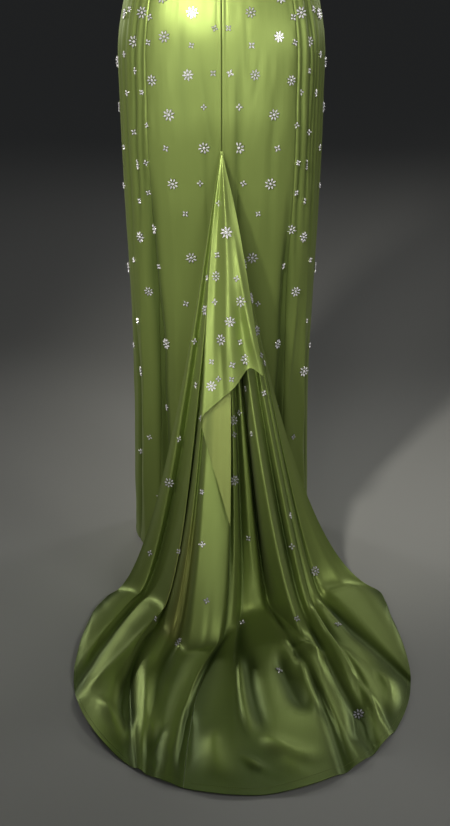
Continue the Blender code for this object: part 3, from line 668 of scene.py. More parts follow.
FINE_FOLDS = (
    # line, share where it starts, line, share where it ends, half width in lines, height
    (1.45, 0.20, 1.50, 0.80, 0.10, -0.0020),
    (5.50, 0.32, 5.45, 0.66, 0.16, -0.0020),
    (6.40, 0.35, 6.30, 0.72, 0.12, 0.0018),
    (7.45, 0.42, 7.60, 0.66, 0.10, -0.0016),
    (8.40, 0.25, 8.35, 0.60, 0.07, -0.0014),
    (9.60, 0.15, 9.55, 0.60, 0.12, 0.0018),
    (10.5, 0.20, 10.4, 0.62, 0.10, -0.0022),
    (11.6, 0.15, 11.7, 0.55, 0.12, 0.0022),
    (12.35, 0.30, 12.45, 0.70, 0.10, -0.0018),
    (13.45, 0.25, 13.4, 0.62, 0.12, 0.0022),
    (14.30, 0.20, 14.4, 0.66, 0.13, -0.0026),
    (20.50, 0.25, 20.5, 0.75, 0.12, 0.0022),
)
FLOOR_FOLDS = (
    # from x, y, to x, y, bow sideways, half width, height: ridges and troughs of the cloth on the floor
    (-0.106, -0.340, -0.223, -0.560, -0.006, 0.010, 0.0050),
    (-0.150, -0.460, -0.128, -0.640, 0.012, 0.014, -0.0075),
    (-0.118, -0.450, -0.092, -0.690, 0.010, 0.014, 0.0065),
    (-0.190, -0.560, -0.150, -0.690, -0.012, 0.016, 0.0070),
    (-0.052, -0.565, -0.061, -0.740, -0.006, 0.012, -0.0070),
    (-0.085, -0.620, -0.100, -0.720, 0.006, 0.014, -0.0050),
    (-0.010, -0.620, 0.010, -0.755, 0.010, 0.018, 0.0060),
    (0.030, -0.420, 0.047, -0.650, 0.006, 0.007, 0.0070),
    (0.046, -0.420, 0.067, -0.650, 0.006, 0.010, -0.0065),
    (0.075, -0.279, 0.114, -0.416, -0.012, 0.010, 0.0070),
    (0.114, -0.416, 0.170, -0.450, -0.008, 0.010, 0.0070),
    (0.095, -0.420, 0.135, -0.600, 0.010, 0.016, -0.0090),
    (0.132, -0.440, 0.152, -0.590, 0.006, 0.010, 0.0070),
    (0.179, -0.386, 0.235, -0.640, -0.020, 0.014, 0.0080),
    (0.205, -0.470, 0.200, -0.680, -0.016, 0.018, -0.0080),
    (0.250, -0.480, 0.262, -0.600, -0.010, 0.014, 0.0070),
    (0.060, -0.640, 0.150, -0.700, 0.014, 0.016, 0.0070),
    (0.049, -0.706, 0.093, -0.753, 0.006, 0.007, -0.0060),
    (0.030, -0.690, 0.075, -0.760, -0.008, 0.008, 0.0065),
    (0.090, -0.690, 0.140, -0.745, 0.008, 0.009, 0.0060),
)


def floor_folds(x, y):
    """Height of the ridges and troughs of the cloth on the floor."""
    total = np.zeros(x.shape)
    for x0, y0, x1, y1, bow, width, rise in FLOOR_FOLDS:
        length = np.hypot(x1 - x0, y1 - y0)
        along = ((x - x0) * (x1 - x0) + (y - y0) * (y1 - y0)) / length**2
        off = ((x - x0) * (y1 - y0) - (y - y0) * (x1 - x0)) / length - bow * 4 * along * (1 - along)
        reach = ramp(along, -0.05, 0.3) * ramp(along, 1.05, 0.7)
        total += rise * reach * np.exp(-np.abs(off / (width * (0.6 + 0.6 * np.clip(along, 0, 1)))) ** 1.7)
    return total


def train_depth(line, share):
    """How far the cloth stands off the base: folds while it hangs, low crests once it lies."""
    q = np.clip(share / LAND_SHARE, 0.0, 1.0)
    p = np.clip((share - LAND_SHARE) / (1 - LAND_SHARE), 0.0, 1.0)
    lying = ramp(q, 0.30, 1.0)
    hang = across_folds(column(TRAIN_LINES, 7), line, HANG_SHARPNESS)
    lift = across_folds(column(TRAIN_LINES, 8), line, LIFT_SHARPNESS)
    depth = (1 - lying) * hang * np.minimum(q / MID_SHARE, 1.0) + lying * lift * (1 - FLATTENING * p)
    for line0, share0, line1, share1, width, rise in FINE_FOLDS:
        down = (share - share0) / (share1 - share0)
        off = (line - line0 - (line1 - line0) * down) / width
        depth += rise * ramp(down, 0.0, 0.4) * ramp(down, 1.0, 0.6) * np.exp(-np.abs(off) ** 1.7)
    return depth + 0.0006 * drift(line, share, 31, 0.8, 0.06) * np.minimum(q / MID_SHARE, 1.0)


def train_face(line, share):
    """The face of the train for a row of line positions and a column of shares."""
    even = np.linspace(0, 1, EVEN_ROWS)[:, None]
    base = train_base(line, even)
    crisp = np.clip(across_folds(column(TRAIN_LINES, 9), line, 1.0) / SHARP_BREAK, 0.0, 1.0)
    plan_crisp = CRISP_SHARE * crisp[..., None]
    softened = soften(base, PLAN_SOFTNESS) * (1 - plan_crisp) + plan_crisp * soften(base, CRISP_PLAN)
    side, crisp_side = soften(base[..., 2], SIDE_SOFTNESS), soften(base[..., 2], CRISP_SIDE)
    softened[..., 2] = side * (1 - crisp) + crisp_side * crisp
    fall = np.gradient(softened, axis=0)
    out = np.stack([0 * fall[..., 0], fall[..., 2], -fall[..., 1]], axis=-1)
    out /= np.linalg.norm(out, axis=-1, keepdims=True)
    face = softened + out * train_depth(line, even)[..., None]
    lean = across_folds(column(TRAIN_LINES, 10), line, 1.0)
    face[..., 0] += lean * ramp(even, 0.08, 0.40) * ramp(even, 0.95, 0.70)
    on_floor = ramp(even, LAND_SHARE * 0.9, LAND_SHARE * 1.1)
    creased = ramp(even, 1.0, HEM_FADE) * floor_folds(face[..., 0], face[..., 1])
    billow = 0.0022 * (1 + drift(face[..., 0], face[..., 1], 33, 0.07, 0.09))
    face[..., 2] += on_floor * (creased + billow * ramp(even, 1.0, 0.9))
    place = share[:, 0] * (EVEN_ROWS - 1)
    low = np.clip(place.astype(int), 0, EVEN_ROWS - 2)
    part = (place - low)[:, None, None]
    face = face[low] * (1 - part) + face[low + 1] * part
    face[..., 2] = np.maximum(face[..., 2], floor_level + THINNEST)
    return face


def train_piece(name, first, last):
    """One half of the train, between two places among the lines, with painted shade in its hollows and a
    painted warm reflection along one fold.
    """
    lines = first + (last - first) * stations((last - first) * LINE_GAP, 132)[None, :]
    shares = stations(TRAIN_LENGTH, 205)[:, None]
    face = train_face(lines, shares)
    # Painted shade: darker in the valleys between the hanging folds.
    painted_shade = np.clip((0.005 - train_depth(lines, shares)) / 0.016, 0.0, 0.9)
    painted_shade = painted_shade * ramp(shares, 0.15, 0.42) * ramp(shares, 0.78, 0.62)
    # Painted shade: darker where the cloth on the floor lies lowest, between its ridges.
    painted_shade += 0.80 * ramp(face[..., 2] - floor_level, 0.013, 0.003) * ramp(shares, 0.58, 0.68)
    # Painted reflection: a warm golden glow between the folds, along one fold line, in its middle stretch.
    painted_reflection_share = 0.6 * np.exp(-(((lines - REFLECTING_FOLD_LINE) / 0.9) ** 2))
    return cloth_piece(name, face, painted_shade, painted_reflection_share * ramp(shares, 0.30, 0.40) * ramp(shares, 0.66, 0.58))


train_left = train_piece("train_left", 0.0, CENTRE_GAP - 0.01)
train_right = train_piece("train_right", CENTRE_GAP + 0.01, 21.0)


# ---- Cascade ----
# One width of satin sewn into the point of the train. It falls over the train's folds, turns back on itself
# at the left and ends in a slanting narrow hem, below which its under layer shows.
CASCADE_SECTIONS = (
    # height, right edge of the front layer, left fold, right end of the back layer, front y, back y
    (0.140, 0.0950, -0.0440, 0.0140, -0.3520, -0.3405),
    (0.300, 0.0850, -0.0380, 0.0155, -0.2830, -0.2720),
    (0.400, 0.0730, -0.0320, 0.0150, -0.2475, -0.2370),
    (0.500, 0.0555, -0.0270, 0.0135, -0.2155, -0.2060),
    (0.600, 0.0390, -0.0205, 0.0110, -0.1880, -0.1795),
    (0.690, 0.0215, -0.0125, 0.0080, -0.1645, -0.1575),
    (0.770, 0.0014, -0.0014, 0.0009, -0.1370, -0.1350),
)
CASCADE_HEM = (
    # share across: 0 right edge, 0.5 left fold, 1 right end of the back layer; height of the hem there
    (0.00, 0.424),
    (0.08, 0.436),
    (0.22, 0.412),
    (0.36, 0.382),
    (0.50, 0.348),
    (0.66, 0.296),
    (0.82, 0.246),
    (1.00, 0.184),
)
CASCADE_SWELL, CASCADE_TURN = 0.010, 0.06
CASCADE_FOLDS = (
    # top height, share across there, foot height, share there, half width as a share, depth
    (0.92, 0.22, 0.24, 0.25, 0.085, 0.0110),
    (0.68, 0.12, 0.38, 0.00, 0.050, 0.0100),
    (0.58, 0.13, 0.36, 0.12, 0.060, -0.0090),
    (0.90, 0.39, 0.30, 0.38, 0.070, -0.0060),
    (0.50, 0.33, 0.36, 0.31, 0.022, -0.0020),
    (0.60, 0.27, 0.40, 0.29, 0.020, 0.0010),
    (0.44, 0.66, 0.14, 0.78, 0.060, 0.0060),
    (0.42, 0.80, 0.14, 0.92, 0.050, -0.0050),
)


def cascade_face(across, height):
    """The cascade from its right edge round the left fold to the end of its back layer."""
    right, left, back_end, front_y, back_y = (
        smooth(column(CASCADE_SECTIONS, 0), column(CASCADE_SECTIONS, i), height) for i in range(1, 6)
    )
    radius = np.abs(front_y - back_y) / 2
    flat = 0.5 - CASCADE_TURN
    front_share = np.clip(across / flat, 0.0, 1.0)
    back_share = np.clip((across - 0.5 - CASCADE_TURN) / flat, 0.0, 1.0)
    turn = pi * (across - flat) / (2 * CASCADE_TURN)
    swell = CASCADE_SWELL * np.sin(pi * front_share) * np.minimum(1.0, right / 0.06)
    front_x = right + (left + radius - right) * front_share
    back_x = left + radius + (back_end - left - radius) * back_share
    bend_x, bend_y = left + radius * (1 - np.sin(turn)), (front_y + back_y) / 2 - radius * np.cos(turn)
    places = [across < flat, across > 0.5 + CASCADE_TURN]
    x = np.select(places, [front_x, back_x], bend_x)
    y = np.select(places, [front_y - swell, back_y + 0 * swell], bend_y)
    relief = creases(CASCADE_FOLDS, height, across, 0.006) + 0.0004 * drift(height, across, 41, 0.05, 0.05)
    y = y - relief * np.where(across > 0.5, -0.3, 1.0) * ramp(height, 0.77, 0.68)
    return np.stack([x, y, height + floor_level], axis=-1)


across = 1.0 - stations(0.30, 118)[None, :]
hem_height = smooth(column(CASCADE_HEM, 0), column(CASCADE_HEM, 1), across)
cascade_height = 0.770 + (hem_height - 0.770) * stations(0.45, 120)[:, None]
# Painted shade on the turn of the left fold and the under layer behind it, stronger towards its lower end.
fold_shade = np.clip(0.5 - np.abs(across - 0.62) * 4, 0.0, 0.5) * ramp(cascade_height, 0.5, 0.35)
cascade = cloth_piece("cascade", cascade_face(across, cascade_height), fold_shade)


# ---- Crystal flowers ----
# Foil-backed crystal navettes round a centre stone, each held by claws in a small silvered cup. The cups
# are sewn on in a half-drop pattern mirrored about the centre back, large flowers with small clusters between.
LARGE, SMALL = 1.0, 0.0
SKIRT_FLOWERS = (
    # height, degrees from the centre back, kind: one side, mirrored to the other and again to the front
    (1.088, 12.0, LARGE), (1.094, 31.0, SMALL), (1.082, 47.0, LARGE), (1.092, 66.0, SMALL),
    (1.080, 82.0, LARGE), (1.048, 3.4, SMALL), (1.045, 22.0, LARGE), (1.050, 37.0, SMALL),
    (1.036, 57.0, LARGE), (1.042, 75.0, SMALL), (1.016, 8.6, SMALL), (1.010, 33.0, LARGE),
    (1.008, 86.0, SMALL), (0.989, 13.7, LARGE), (0.986, 48.0, LARGE), (0.980, 40.6, SMALL),
    (0.989, 62.8, SMALL), (0.981, 71.0, LARGE), (0.966, 2.6, SMALL), (0.952, 29.3, LARGE),
    (0.942, 40.2, SMALL), (0.940, 13.5, SMALL), (0.941, 54.5, LARGE), (0.919, 66.0, SMALL),
    (0.902, 85.0, LARGE), (0.895, 15.3, LARGE), (0.898, 3.2, SMALL), (0.896, 52.5, SMALL),
    (0.884, 37.5, LARGE), (0.863, 47.0, SMALL), (0.858, 62.5, SMALL), (0.845, 7.6, SMALL),
    (0.831, 26.7, LARGE), (0.828, 84.0, LARGE), (0.811, 43.0, SMALL), (0.796, 56.0, SMALL),
    (0.779, 7.6, LARGE), (0.776, 29.2, SMALL), (0.765, 72.0, SMALL), (0.742, 54.0, LARGE),
    (0.748, 45.0, SMALL), (0.717, 25.4, LARGE), (0.720, 9.8, SMALL), (0.697, 44.6, SMALL),
    (0.680, 53.0, SMALL), (0.696, 79.0, SMALL), (0.667, 18.2, SMALL), (0.633, 43.0, LARGE),
    (0.616, 54.2, LARGE), (0.590, 15.4, LARGE), (0.569, 66.0, SMALL), (0.568, 38.5, SMALL),
    (0.545, 84.0, LARGE), (0.519, 49.0, LARGE), (0.506, 19.4, SMALL), (0.457, 64.0, SMALL),
    (0.426, 35.2, LARGE), (0.400, 80.0, SMALL), (0.362, 61.5, LARGE), (0.300, 38.0, SMALL),
    (0.237, 52.0, SMALL), (0.190, 74.0, SMALL), (0.120, 44.0, SMALL),
)
BODICE_FLOWERS = (
    # height, degrees from the centre back, kind: one side, mirrored to the other
    (1.150, 6.0, SMALL), (1.148, 22.0, LARGE), (1.155, 40.0, SMALL), (1.150, 58.0, LARGE),
    (1.152, 78.0, SMALL), (1.150, 98.0, LARGE), (1.155, 118.0, SMALL), (1.148, 136.0, LARGE),
    (1.152, 155.0, SMALL), (1.148, 173.0, LARGE), (1.200, 32.0, SMALL), (1.205, 50.0, LARGE),
    (1.198, 70.0, SMALL), (1.204, 84.0, LARGE), (1.200, 108.0, SMALL), (1.206, 127.0, LARGE),
    (1.200, 145.0, SMALL), (1.206, 164.0, LARGE), (1.250, 62.0, SMALL), (1.252, 76.0, LARGE),
    (1.250, 97.0, SMALL), (1.256, 116.0, LARGE), (1.250, 138.0, SMALL), (1.258, 154.0, LARGE),
    (1.252, 174.0, SMALL), (1.292, 86.0, SMALL), (1.300, 106.0, LARGE), (1.300, 128.0, SMALL),
    (1.305, 145.0, LARGE), (1.292, 166.0, SMALL), (1.340, 142.0, SMALL),
)
CASCADE_FLOWERS = (
    # share of the way across, height, kind
    (0.224, 0.654, LARGE), (0.375, 0.581, LARGE), (0.110, 0.544, LARGE), (0.234, 0.515, LARGE),
    (0.318, 0.484, LARGE), (0.125, 0.450, LARGE), (0.398, 0.408, LARGE), (0.244, 0.424, SMALL),
    (0.391, 0.695, SMALL), (0.368, 0.615, SMALL), (0.130, 0.581, SMALL), (0.381, 0.540, SMALL),
    (0.157, 0.479, SMALL), (0.234, 0.447, SMALL), (0.401, 0.446, SMALL), (0.344, 0.421, SMALL),
)
TRAIN_FLOWERS = (
    # fold line, share of the way to the hem, kind
    (3.00, 0.117, LARGE), (18.3, 0.080, LARGE), (18.6, 0.107, LARGE), (17.7, 0.134, LARGE),
    (7.25, 0.241, LARGE), (9.75, 0.241, LARGE), (1.05, 0.300, LARGE), (9.65, 0.314, LARGE),
    (19.6, 0.475, LARGE), (6.20, 0.606, LARGE), (15.3, 0.915, LARGE), (2.60, 0.091, SMALL),
    (4.80, 0.137, SMALL), (1.30, 0.144, SMALL), (2.70, 0.185, SMALL), (1.25, 0.244, SMALL),
    (17.7, 0.156, SMALL), (18.9, 0.165, SMALL), (16.0, 0.190, SMALL), (13.6, 0.197, SMALL),
    (7.65, 0.222, SMALL), (11.6, 0.232, SMALL), (9.80, 0.258, SMALL), (13.6, 0.246, SMALL),
    (5.15, 0.227, SMALL), (6.75, 0.317, SMALL), (7.05, 0.390, SMALL), (11.6, 0.409, SMALL),
    (16.7, 0.341, SMALL), (15.7, 0.387, SMALL), (0.75, 0.426, SMALL), (3.30, 0.399, SMALL),
    (7.40, 0.489, SMALL), (14.1, 0.548, SMALL), (11.1, 0.620, SMALL), (3.25, 0.630, SMALL),
    (11.9, 0.791, SMALL), (18.2, 0.700, SMALL),
)
SIDE_FLOWERS_FROM = 80.0  # degrees from which a flower at the back also serves the front
PROBE = 0.004  # how far apart two places are felt to find which way the cloth faces
CLEAR = 0.0002  # metres between a flower and the cloth


def seat(face, a, b, step_a, step_b, outward):
    """The place of a flower on the cloth and the way it faces there, lifted just clear of it."""
    a, b = np.float64(a), np.float64(b)
    here, side, below = face(a, b), face(a + step_a, b), face(a, b + step_b)
    facing = np.cross(side - here, below - here)
    facing *= np.sign(facing @ np.array(outward)) / np.linalg.norm(facing)
    return (*(here + CLEAR * facing), *facing)


def train_point(line, share):
    """One place on the train."""
    return train_face(np.array([[line]]), np.array([[share]]))[0, 0]


seats = []
for height, degrees, kind in SKIRT_FLOWERS:
    mirrored = (180.0 - degrees, degrees - 180.0) if degrees < SIDE_FLOWERS_FROM else ()
    for turned in (degrees, -degrees, *mirrored):
        seats.append((*seat(skirt_face, height, turned, PROBE, 1.0, away(turned)), kind))
for height, degrees, kind in BODICE_FLOWERS:
    for turned in (degrees, -degrees):
        seats.append((*seat(bodice_face, height, turned, PROBE, 1.0, away(turned)), kind))
for share_across, height, kind in CASCADE_FLOWERS:
    seats.append((*seat(cascade_face, share_across, height, 0.02, PROBE, (0.0, -1.0, 0.3)), kind))
for line, share, kind in TRAIN_FLOWERS:
    seats.append((*seat(train_point, line, share, 0.06, PROBE, (0.0, -0.5, 0.8)), kind))
seats = np.array(seats)


def turned_by(turn, x, y):
    return x * cos(turn) - y * sin(turn), x * sin(turn) + y * cos(turn)


def stone_outline(length, width, reach, turn):
    """Six corners of a pointed stone whose middle lies at a reach from the flower's middle."""
    around = ((1, 0), (0.35, 1), (-0.35, 1), (-1, 0), (-0.35, -1), (0.35, -1))
    return [turned_by(turn, reach + x * length / 2, y * width / 2) for x, y in around]


def add_stone(points, faces, outline, levels):
    """A closed six-sided body with a ring of corners at each level, its height and share of the outline."""
    start = len(points)
    middle = np.mean(outline, axis=0)
    for height, share in levels:
        points += [(*(middle + share * (np.array(corner) - middle)), height) for corner in outline]
    for ring in range(len(levels) - 1):
        for i in range(6):
            a, b = start + 6 * ring + i, start + 6 * ring + (i + 1) % 6
            faces.append((a, b, b + 6, a + 6))
    faces.append(tuple(range(start + 5, start - 1, -1)))
    faces.append(tuple(range(len(points) - 6, len(points))))


CLAW = (
    # along from its foot, to the side, height: three corners of the foot and the tip
    (0.0006, -0.0005, 0.0),
    (0.0006, 0.0005, 0.0),
    (-0.0002, 0.0, 0.0),
    (-0.0007, 0.0, 0.0024),
)
STONE_LEVELS = ((0.0012, 0.96), (0.0028, 0.50))  # height and share of the outline: girdle and table
CUP_LEVELS = ((0.0, 0.80), (0.0012, 1.14))


def add_claw(points, faces, reach, turn):
    """A prong that rises beside a stone and bends over its edge."""
    start = len(points)
    for along, side, height in CLAW:
        points.append((*turned_by(turn, reach + along, side), height))
    faces += [(start + a, start + b, start + c) for a, b, c in ((0, 2, 1), (0, 1, 3), (1, 2, 3), (2, 0, 3))]


def flower(name, petals, length, width, reach, centre, claws):
    """The stones of one flower and the setting beneath them, each as a mesh of its own kind."""
    outlines = [stone_outline(length, width, reach, 2 * pi * i / petals) for i in range(petals)]
    if centre:
        outlines.append(stone_outline(centre, centre * 0.95, 0.0, 0.3))
    stones, stone_faces, cup, cup_faces = [], [], [], []
    for outline in outlines:
        add_stone(stones, stone_faces, outline, STONE_LEVELS)
        add_stone(cup, cup_faces, outline, CUP_LEVELS)
    for i in range(petals):
        for place, turn in claws:
            add_claw(cup, cup_faces, place, 2 * pi * i / petals + turn)
    made = []
    for kind, points, faces in (("stones", stones, stone_faces), ("cup", cup, cup_faces)):
        mesh = bpy.data.meshes.new(name + "_" + kind)
        mesh.from_pydata([tuple(map(float, p)) for p in points], [], faces)
        made.append(bpy.data.objects.new(name + "_" + kind, mesh))
    return made


def crystal_material():
    """Clear stones with a foil behind them, their glints painted into the colour as small light and dark
    flecks.
    """
    made, shader = plain_material("foiled_crystal", (0.93, 0.94, 0.96), 0.16, 0.10)
    shader.inputs["IOR"].default_value = 1.56
    shader.inputs["Coat Weight"].default_value = 0.6
    shader.inputs["Coat Roughness"].default_value = 0.03
    place = add_node(made.node_tree, "ShaderNodeTexCoord", {}, {}).outputs["Object"]
    flecks = add_node(made.node_tree, "ShaderNodeTexVoronoi", {}, {"Vector": place, "Scale": 620.0})
    # Painted glints: the colour runs from near white at the middle of each small cell to a dusky grey at its
    # edge.
    painted_sparkle = mix_colours(made.node_tree, flecks.outputs["Distance"], (0.98, 0.98, 1.0), (0.58, 0.55, 0.64))
    made.node_tree.links.new(painted_sparkle, shader.inputs["Base Color"])
    return made


def silver_material():
    """Silvered brass, a little worn."""
    made, shader = plain_material("silvered_claws", (0.62, 0.60, 0.64), 0.24, 1.0)
    place = add_node(made.node_tree, "ShaderNodeTexCoord", {}, {}).outputs["Object"]
    wear = add_node(made.node_tree, "ShaderNodeTexNoise", {}, {"Vector": place, "Scale": 900.0})
    vary_roughness(shader, wear.outputs["Fac"], 0.16, 0.34)
    return made


def point_cloud(name, places, facings, kinds):
    """Loose points, each with the way the cloth faces there and the kind of flower."""
    mesh = bpy.data.meshes.new(name)
    mesh.from_pydata(np.asarray(places).tolist(), [], [])
    mesh.attributes.new("facing", "FLOAT_VECTOR", "POINT").data.foreach_set(
        "vector", np.asarray(facings, np.float32).ravel()
    )
    mesh.attributes.new("kind", "FLOAT", "POINT").data.foreach_set("value", np.asarray(kinds, np.float32))
    made = bpy.data.objects.new(name, mesh)
    bpy.context.scene.collection.objects.link(made)
    return made


def new_tree(name, inputs):
    """An empty geometry tree with a geometry input, the named inputs, and a geometry output."""
    tree = bpy.data.node_groups.new(name, "GeometryNodeTree")
    tree.interface.new_socket("Geometry", in_out="INPUT", socket_type="NodeSocketGeometry")
    for title, kind in inputs:
        tree.interface.new_socket(title, in_out="INPUT", socket_type=kind)
    tree.interface.new_socket("Geometry", in_out="OUTPUT", socket_type="NodeSocketGeometry")
    return tree, add_node(tree, "NodeGroupInput", {}, {}).outputs


def finish_tree(tree, instances, material):
    """Turns the instances into plain mesh of one material and gives them out."""
    whole = add_node(tree, "GeometryNodeRealizeInstances", {}, {"Geometry": instances}).outputs[0]
    painted = add_node(tree, "GeometryNodeSetMaterial", {}, {"Geometry": whole, "Material": material})
    add_node(tree, "NodeGroupOutput", {}, {"Geometry": painted.outputs[0]})


def grown(holder, tree, values):
    """Runs a geometry tree on an object with its named inputs filled, and keeps the result as mesh."""
    growth = holder.modifiers.new("growth", "NODES")
    growth.node_group = tree
    for socket in tree.interface.items_tree:
        if socket.in_out == "INPUT" and socket.name in values:
            growth[socket.identifier] = values[socket.name]
    depsgraph = bpy.context.evaluated_depsgraph_get()
    mesh = bpy.data.meshes.new_from_object(holder.evaluated_get(depsgraph))
    mesh.name = holder.name
    holder.modifiers.remove(growth)
    holder.data = mesh
    return holder


def at_point(tree, name, kind):
    """A value that the points carry."""
    return add_node(tree, "GeometryNodeInputNamedAttribute", {"data_type": kind}, {"Name": name}).outputs[0]


def upright_on_cloth(tree):
    """The turn that stands a shape on the cloth at each point."""
    facing = at_point(tree, "facing", "FLOAT_VECTOR")
    return add_node(tree, "FunctionNodeAlignRotationToVector", {"axis": "Z"}, {"Vector": facing}).outputs[0]


def set_on(tree, shape, places):
    """Copies of a shape on points, with the inputs of the node that sets them there."""
    shown = add_node(tree, "GeometryNodeObjectInfo", {}, {"Object": shape}).outputs["Geometry"]
    return add_node(tree, "GeometryNodeInstanceOnPoints", {}, {"Instance": shown, **places}).outputs[0]


def flower_tree():
    """Seats a large or a small flower on every point, facing away from the cloth and turned at random."""
    tree, given = new_tree(
        "seat_flowers",
        (
            ("Large Flower", "NodeSocketObject"),
            ("Small Flower", "NodeSocketObject"),
            ("Seed", "NodeSocketInt"),
            ("Material", "NodeSocketMaterial"),
        ),
    )
    size_range = {2: 0.90, 3: 1.06, "Seed": given["Seed"]}
    size = add_node(tree, "FunctionNodeRandomValue", {"data_type": "FLOAT"}, size_range).outputs[1]
    turn_range = {3: 6.283, "Seed": given["Seed"]}
    spin = add_node(tree, "FunctionNodeRandomValue", {"data_type": "FLOAT"}, turn_range).outputs[1]
    twist = add_node(tree, "FunctionNodeAxisAngleToRotation", {}, {"Angle": spin}).outputs[0]
    both = {"Rotation": upright_on_cloth(tree), "Rotate By": twist}
    turned = add_node(tree, "FunctionNodeRotateRotation", {"rotation_space": "LOCAL"}, both).outputs[0]
    above_half = {0: at_point(tree, "kind", "FLOAT"), 1: 0.5}
    is_large = add_node(tree, "FunctionNodeCompare", {"operation": "GREATER_THAN"}, above_half).outputs[0]
    is_small = add_node(tree, "FunctionNodeBooleanMath", {"operation": "NOT"}, {0: is_large}).outputs[0]
    joined = add_node(tree, "GeometryNodeJoinGeometry", {}, {})
    for shape, chosen in (("Large Flower", is_large), ("Small Flower", is_small)):
        places = {"Points": given["Geometry"], "Selection": chosen, "Rotation": turned, "Scale": size}
        tree.links.new(set_on(tree, given[shape], places), joined.inputs[0])
    finish_tree(tree, joined.outputs[0], given["Material"])
    return tree


LARGE_CLAWS = ((0.0100, 0.0), (0.0080, 0.39))  # reach and turn of the claws that each petal has
SMALL_CLAWS = ((0.0062, 0.0), (0.0040, 0.78))
large_stones, large_cup = flower("large_flower", 8, 0.0062, 0.0027, 0.0066, 0.0052, LARGE_CLAWS)
small_stones, small_cup = flower("small_flower", 4, 0.0050, 0.0027, 0.0034, 0.0, SMALL_CLAWS)
flower_layout = flower_tree()
for name, large, small, paint, slot in (
    ("crystal_flowers", large_stones, small_stones, crystal_material(), "crystal"),
    ("flower_settings", large_cup, small_cup, silver_material(), "setting"),
):
    holder = point_cloud(name, seats[:, :3], seats[:, 3:6], seats[:, 6])
    flowers = grown(
        holder, flower_layout, {"Large Flower": large, "Small Flower": small, "Seed": 5, "Material": paint}
    )
    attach(flowers, "root")
for shape in (large_stones, large_cup, small_stones, small_cup):
    bpy.data.objects.remove(shape)


# ---- Stitching ----
# Silk thread of the satin's own colour: one row round every narrow hem and the turned top edge, and a row
# on each side of the centre back seam, where the turnings are caught down flat.
STITCH_PITCH, STITCH_LENGTH, STITCH_WIDTH = 0.0032, 0.0022, 0.0005
HEM_ROW, TOP_ROW = 0.0125, 0.0070  # metres above a hem, and below the top edge
SEAM_ROW = 1.45  # degrees beside the centre back seam


def stitch_row(places, outward):
    """Corners of a row of stitches and the way the cloth faces at each, out of a path on the cloth."""
    along = np.gradient(places, axis=0)
    side = np.cross(outward, along)
    facing = np.cross(along, side)
    facing /= np.linalg.norm(facing, axis=1, keepdims=True)
    return places + 0.0001 * facing, facing


def stitch_tree():
    """Lays a short stitch along every path at an even pitch, flat on the cloth."""
    tree, given = new_tree(
        "lay_stitches",
        (("Stitch", "NodeSocketObject"), ("Pitch", "NodeSocketFloat"), ("Material", "NodeSocketMaterial")),
    )
    path = add_node(tree, "GeometryNodeMeshToCurve", {}, {"Mesh": given["Geometry"]}).outputs[0]
    spacing = {"Curve": path, "Length": given["Pitch"]}
    spaced = add_node(tree, "GeometryNodeResampleCurve", {"mode": "LENGTH"}, spacing).outputs[0]
    tangent = add_node(tree, "GeometryNodeInputTangent", {}, {}).outputs[0]
    both = {"Rotation": upright_on_cloth(tree), "Vector": tangent}
    along = {"axis": "X", "pivot_axis": "Z"}
    aimed = add_node(tree, "FunctionNodeAlignRotationToVector", along, both).outputs[0]
    laid = set_on(tree, given["Stitch"], {"Points": spaced, "Rotation": aimed})
    finish_tree(tree, laid, given["Material"])
    return tree


stitch_mesh = bpy.data.meshes.new("stitch")
half_stitch, half_thread = STITCH_LENGTH / 2, STITCH_WIDTH / 2
stitch_corners = [
    (end * half_stitch * reach, side, rise)
    for end in (-1, 1)
    for side, rise, reach in ((-half_thread, -0.0001, 1.0), (half_thread, -0.0001, 1.0), (0.0, 0.0003, 0.7))
]
stitch_mesh.from_pydata(stitch_corners, [], [(0, 2, 1), (3, 4, 5), (0, 1, 4, 3), (1, 2, 5, 4), (2, 0, 3, 5)])
stitch = bpy.data.objects.new("stitch", stitch_mesh)

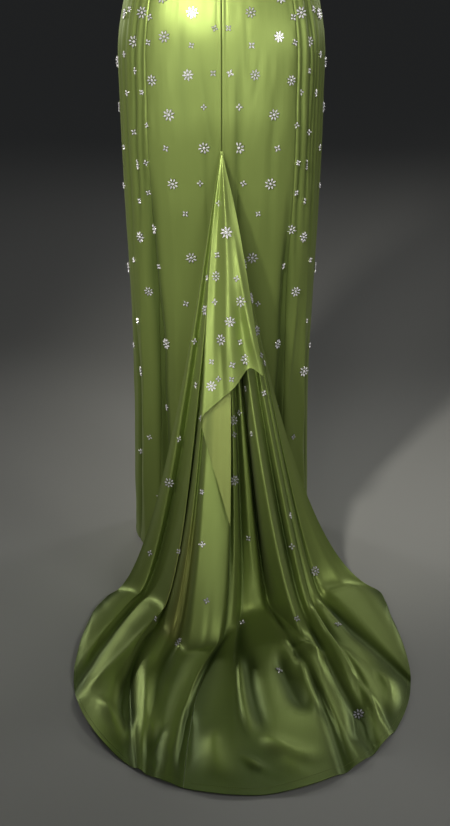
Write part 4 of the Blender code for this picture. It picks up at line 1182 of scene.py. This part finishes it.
rows = []
around = np.linspace(-179.5, 179.5, 360)
rows.append(stitch_row(skirt_face(np.full(360, HEM + HEM_ROW), around), away(around)))
above = smooth(column(BODICE_TOP, 0), column(BODICE_TOP, 1), np.abs(around)) - TOP_ROW
rows.append(stitch_row(bodice_face(above, around), away(around)))
for turned in (-SEAM_ROW, SEAM_ROW):
    beside = np.full(120, turned)
    rows.append(stitch_row(skirt_face(np.linspace(APEX + 0.010, WAIST - 0.006, 120), beside), away(beside)))
for first, last in ((0.15, CENTRE_GAP - 0.1), (CENTRE_GAP + 0.1, 20.85)):
    hem_lines = np.linspace(first, last, 260)[None, :]
    hem_row = train_face(hem_lines, np.array([[1 - HEM_ROW / TRAIN_LENGTH]]))[0]
    rows.append(stitch_row(hem_row, np.tile((0.0, 0.0, 1.0), (260, 1))))
hem_share = np.linspace(0.02, 0.44, 80)
cascade_row = smooth(column(CASCADE_HEM, 0), column(CASCADE_HEM, 1), hem_share) + TOP_ROW
rows.append(stitch_row(cascade_face(hem_share, cascade_row), np.tile((0.0, -1.0, 0.0), (80, 1))))

paths = bpy.data.meshes.new("stitching")
row_starts = np.cumsum([0] + [len(places) for places, _ in rows])
links = [(i, i + 1) for first, last in zip(row_starts, row_starts[1:]) for i in range(first, last - 1)]
paths.from_pydata(np.concatenate([places for places, _ in rows]).tolist(), links, [])
paths.attributes.new("facing", "FLOAT_VECTOR", "POINT").data.foreach_set(
    "vector", np.concatenate([facing for _, facing in rows]).astype(np.float32).ravel()
)
stitching = bpy.data.objects.new("stitching", paths)
bpy.context.scene.collection.objects.link(stitching)
thread, thread_shader = plain_material("silk_thread", (0.26, 0.31, 0.09), 0.55, 0.0)
twist_place = add_node(thread.node_tree, "ShaderNodeTexCoord", {}, {}).outputs["Object"]
plies = add_node(thread.node_tree, "ShaderNodeTexNoise", {}, {"Vector": twist_place, "Scale": 1500.0})
vary_roughness(thread_shader, plies.outputs["Fac"], 0.42, 0.66)
stitching = grown(stitching, stitch_tree(), {"Stitch": stitch, "Pitch": STITCH_PITCH, "Material": thread})
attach(stitching, "root")
bpy.data.objects.remove(stitch)
